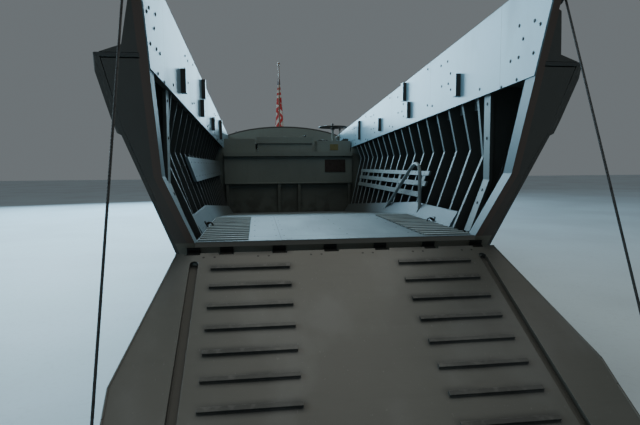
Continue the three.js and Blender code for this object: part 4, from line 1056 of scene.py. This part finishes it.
def ramp_paint():
    f = brushed("ramp_paint", (0.1, 0.102, 0.09), 0.42, 0.72, (5, 1, 1))
    x, y, z = f.axes(f.place(at=at(*RAMP_PIN), turn=(RAMP_TILT, 0, 0)))
    top = z.over(PLATE_TOP)
    rows = 1 - abs(abs(x) - CLEAT_X).fade(0.24, 0.3)
    beside = abs((y + FIRST_CLEAT + CLEAT_PITCH / 2) % CLEAT_PITCH - CLEAT_PITCH / 2)
    grime = (1 - beside.fade(0.012, 0.06)) * rows * f.noise(0.12, size=(3, 1, 1), detail=6).fade(0.3, 0.6)
    f.tint(grime * top * 0.75, (0.04, 0.041, 0.039), 0.65)
    tread = f.noise(0.35, size=(1, 2, 1), detail=8).fade(0.48, 0.7)
    f.tint(tread * top * 0.4, (0.14, 0.145, 0.14), 0.36)
    scratches = f.noise(0.012, size=(1, 40, 1), detail=3).fade(0.68, 0.74)
    f.tint(scratches * top * 0.35, (0.19, 0.19, 0.18), 0.35)
    # The cleats are painted darker above their shoulder: painted shade for their shaded fore faces, with
    # some grime.
    f.tint(z.over(CLEAT_SHOULDER) * 0.4, (0.04, 0.041, 0.039), 0.5)
    f.tint(z.over(CLEAT_TOP) * f.noise(0.05, detail=5).fade(0.5, 0.7) * 0.35, (0.15, 0.15, 0.14), 0.4)
    gutter = (GUTTER_HALF - abs(abs(x) - GUTTER_X)).over(0) * (PLATE_TOP - z).over(0)
    f.tint(gutter * 0.35, (0.03, 0.031, 0.03), 0.65)
    f.tint(f.edges(0.006) * f.noise(0.06, detail=5).fade(0.4, 0.6) * 0.5, (0.2, 0.2, 0.19), 0.4)
    f.height = f.height - scratches * 0.5
    return f.close(0.3, 0.002)


RAMP_PAINT = ramp_paint()
set_finish(RAMP_PAINT, "ramp")

# to port, down the slope from the pin, above the pin's plane
SHACKLE = (1.24, 1.74, 0.066)
# half-width, down the slope from the pin
RAMP_EDGE = [(1.125, 0.022), (1.325, 1.03), (1.312, 1.2), (1.262, 2.1)]
BEAD_HIGH = 0.036
ramp_bead = bmesh.new()
ramp_gear = bmesh.new()
for side in (1, -1):
    for (x0, along0), (x1, along1) in zip(RAMP_EDGE, RAMP_EDGE[1:]):
        start = on_ramp(side * (x0 - 0.006), along0 + 0.004, BEAD_HIGH)
        bar(ramp_bead, start, on_ramp(side * (x1 - 0.006), along1, BEAD_HIGH), 0.008, 12)
    lug = on_ramp(side * SHACKLE[0], *SHACKLE[1:])
    ring(ramp_gear, lug, (1, 0, 0), 0.024, 0.007)
    pin = lug - RAMP_UP * 0.016
    half = Vector((0.02, 0, 0))
    bar(ramp_gear, pin - half, pin + half, 0.008, 12)
bar(ramp_bead, on_ramp(-1.256, 2.096, BEAD_HIGH), on_ramp(1.256, 2.096, BEAD_HIGH), 0.008, 12)
for x in (-0.9, -0.54, -0.18, 0.18, 0.54, 0.9):
    for step in (-0.036, 0.036):
        bolt(ramp_gear, on_ramp(x + step, 0.048, 0.038), RAMP_UP, 0.009, 0.0025)
fit("ramp_bead", ramp_bead, RAMP_PAINT, "ramp")
fit("ramp_gear", ramp_gear, DARK_STEEL, "ramp")


# The ramp's cables: galvanised wire rope of six strands, with a spliced eye held by three clips at the
# ramp. Each leads up to a sheave outside the bow post.
def wire_rope():
    f = Finish("wire_rope", (0.09, 0.09, 0.088), 0.5, metal=0.6)
    f.tint(f.noise(0.02, detail=5).fade(0.5, 0.7) * 0.6, (0.035, 0.03, 0.028), 0.7)
    return f.close(0.1, 0.001, 0.0005)


WIRE_ROPE = wire_rope()
ROPE_LAY = 0.11
STRANDS = 6
STRAND_RADIUS = 0.0024
STRAND_FROM_CORE = 0.0047
STEPS_PER_TURN = 14
ROPE_HEAD = (1.25, -0.567, 1.54)


def rope(bm, low, high):
    """Six strands laid up into a rope between two points."""
    length = (high - low).length
    turns = length / ROPE_LAY
    steps = round(turns * STEPS_PER_TURN)
    one = bmesh.new()
    beside_core = Matrix.Translation((STRAND_FROM_CORE, 0, 0))
    section = bmesh.ops.create_circle(one, segments=6, radius=STRAND_RADIUS, matrix=beside_core)
    edges = {e for v in section["verts"] for e in v.link_edges}
    rise = (0, 0, length / steps)
    bmesh.ops.spin(
        one, geom=list(edges), cent=(0, 0, 0), axis=UP, dvec=rise, angle=2 * math.pi * turns, steps=steps)
    strand = bpy.data.meshes.new("strand")
    one.to_mesh(strand)
    one.free()
    place = Matrix.Translation(low) @ (high - low).to_track_quat("Z", "Y").to_matrix().to_4x4()
    for i in range(STRANDS):
        laid = strand.copy()
        laid.transform(place @ Matrix.Rotation(2 * math.pi * i / STRANDS, 4, "Z"))
        bm.from_mesh(laid)
        bpy.data.meshes.remove(laid)
    bpy.data.meshes.remove(strand)


for side_name, side in SIDES:
    low = on_ramp(side * SHACKLE[0], *SHACKLE[1:])
    high = at(side * ROPE_HEAD[0], *ROPE_HEAD[1:])
    along = (high - low).normalized()
    cable = bmesh.new()
    rope(cable, low, high)
    for reach in (0.12, 0.2, 0.28):
        clip = low + along * reach
        bar(cable, clip - Vector((0.016, 0, 0)), clip + Vector((0.016, 0, 0)), 0.009, 10)
    cable = fit(f"cable_{side_name}", cable, WIRE_ROPE)
    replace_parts(cable, f"ramp_cable_{side_name}")
    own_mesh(cable)

sheave_cheeks = bmesh.new()
for side_name, side in SIDES:
    sheave_low, sheave_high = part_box(f"cable_sheave_{side_name}")
    axle = (sheave_low + sheave_high) / 2
    axle.x = 0
    outboard = Vector((side, 0, 0))
    for reach in (1.236, 1.264):
        bar(sheave_cheeks, axle + outboard * reach, axle + outboard * (reach + 0.002), 0.034, 28)
    bolt(sheave_cheeks, axle + outboard * 1.272, outboard, 0.014, 0.01)
fit("sheave_cheeks", sheave_cheeks, DARK_STEEL)
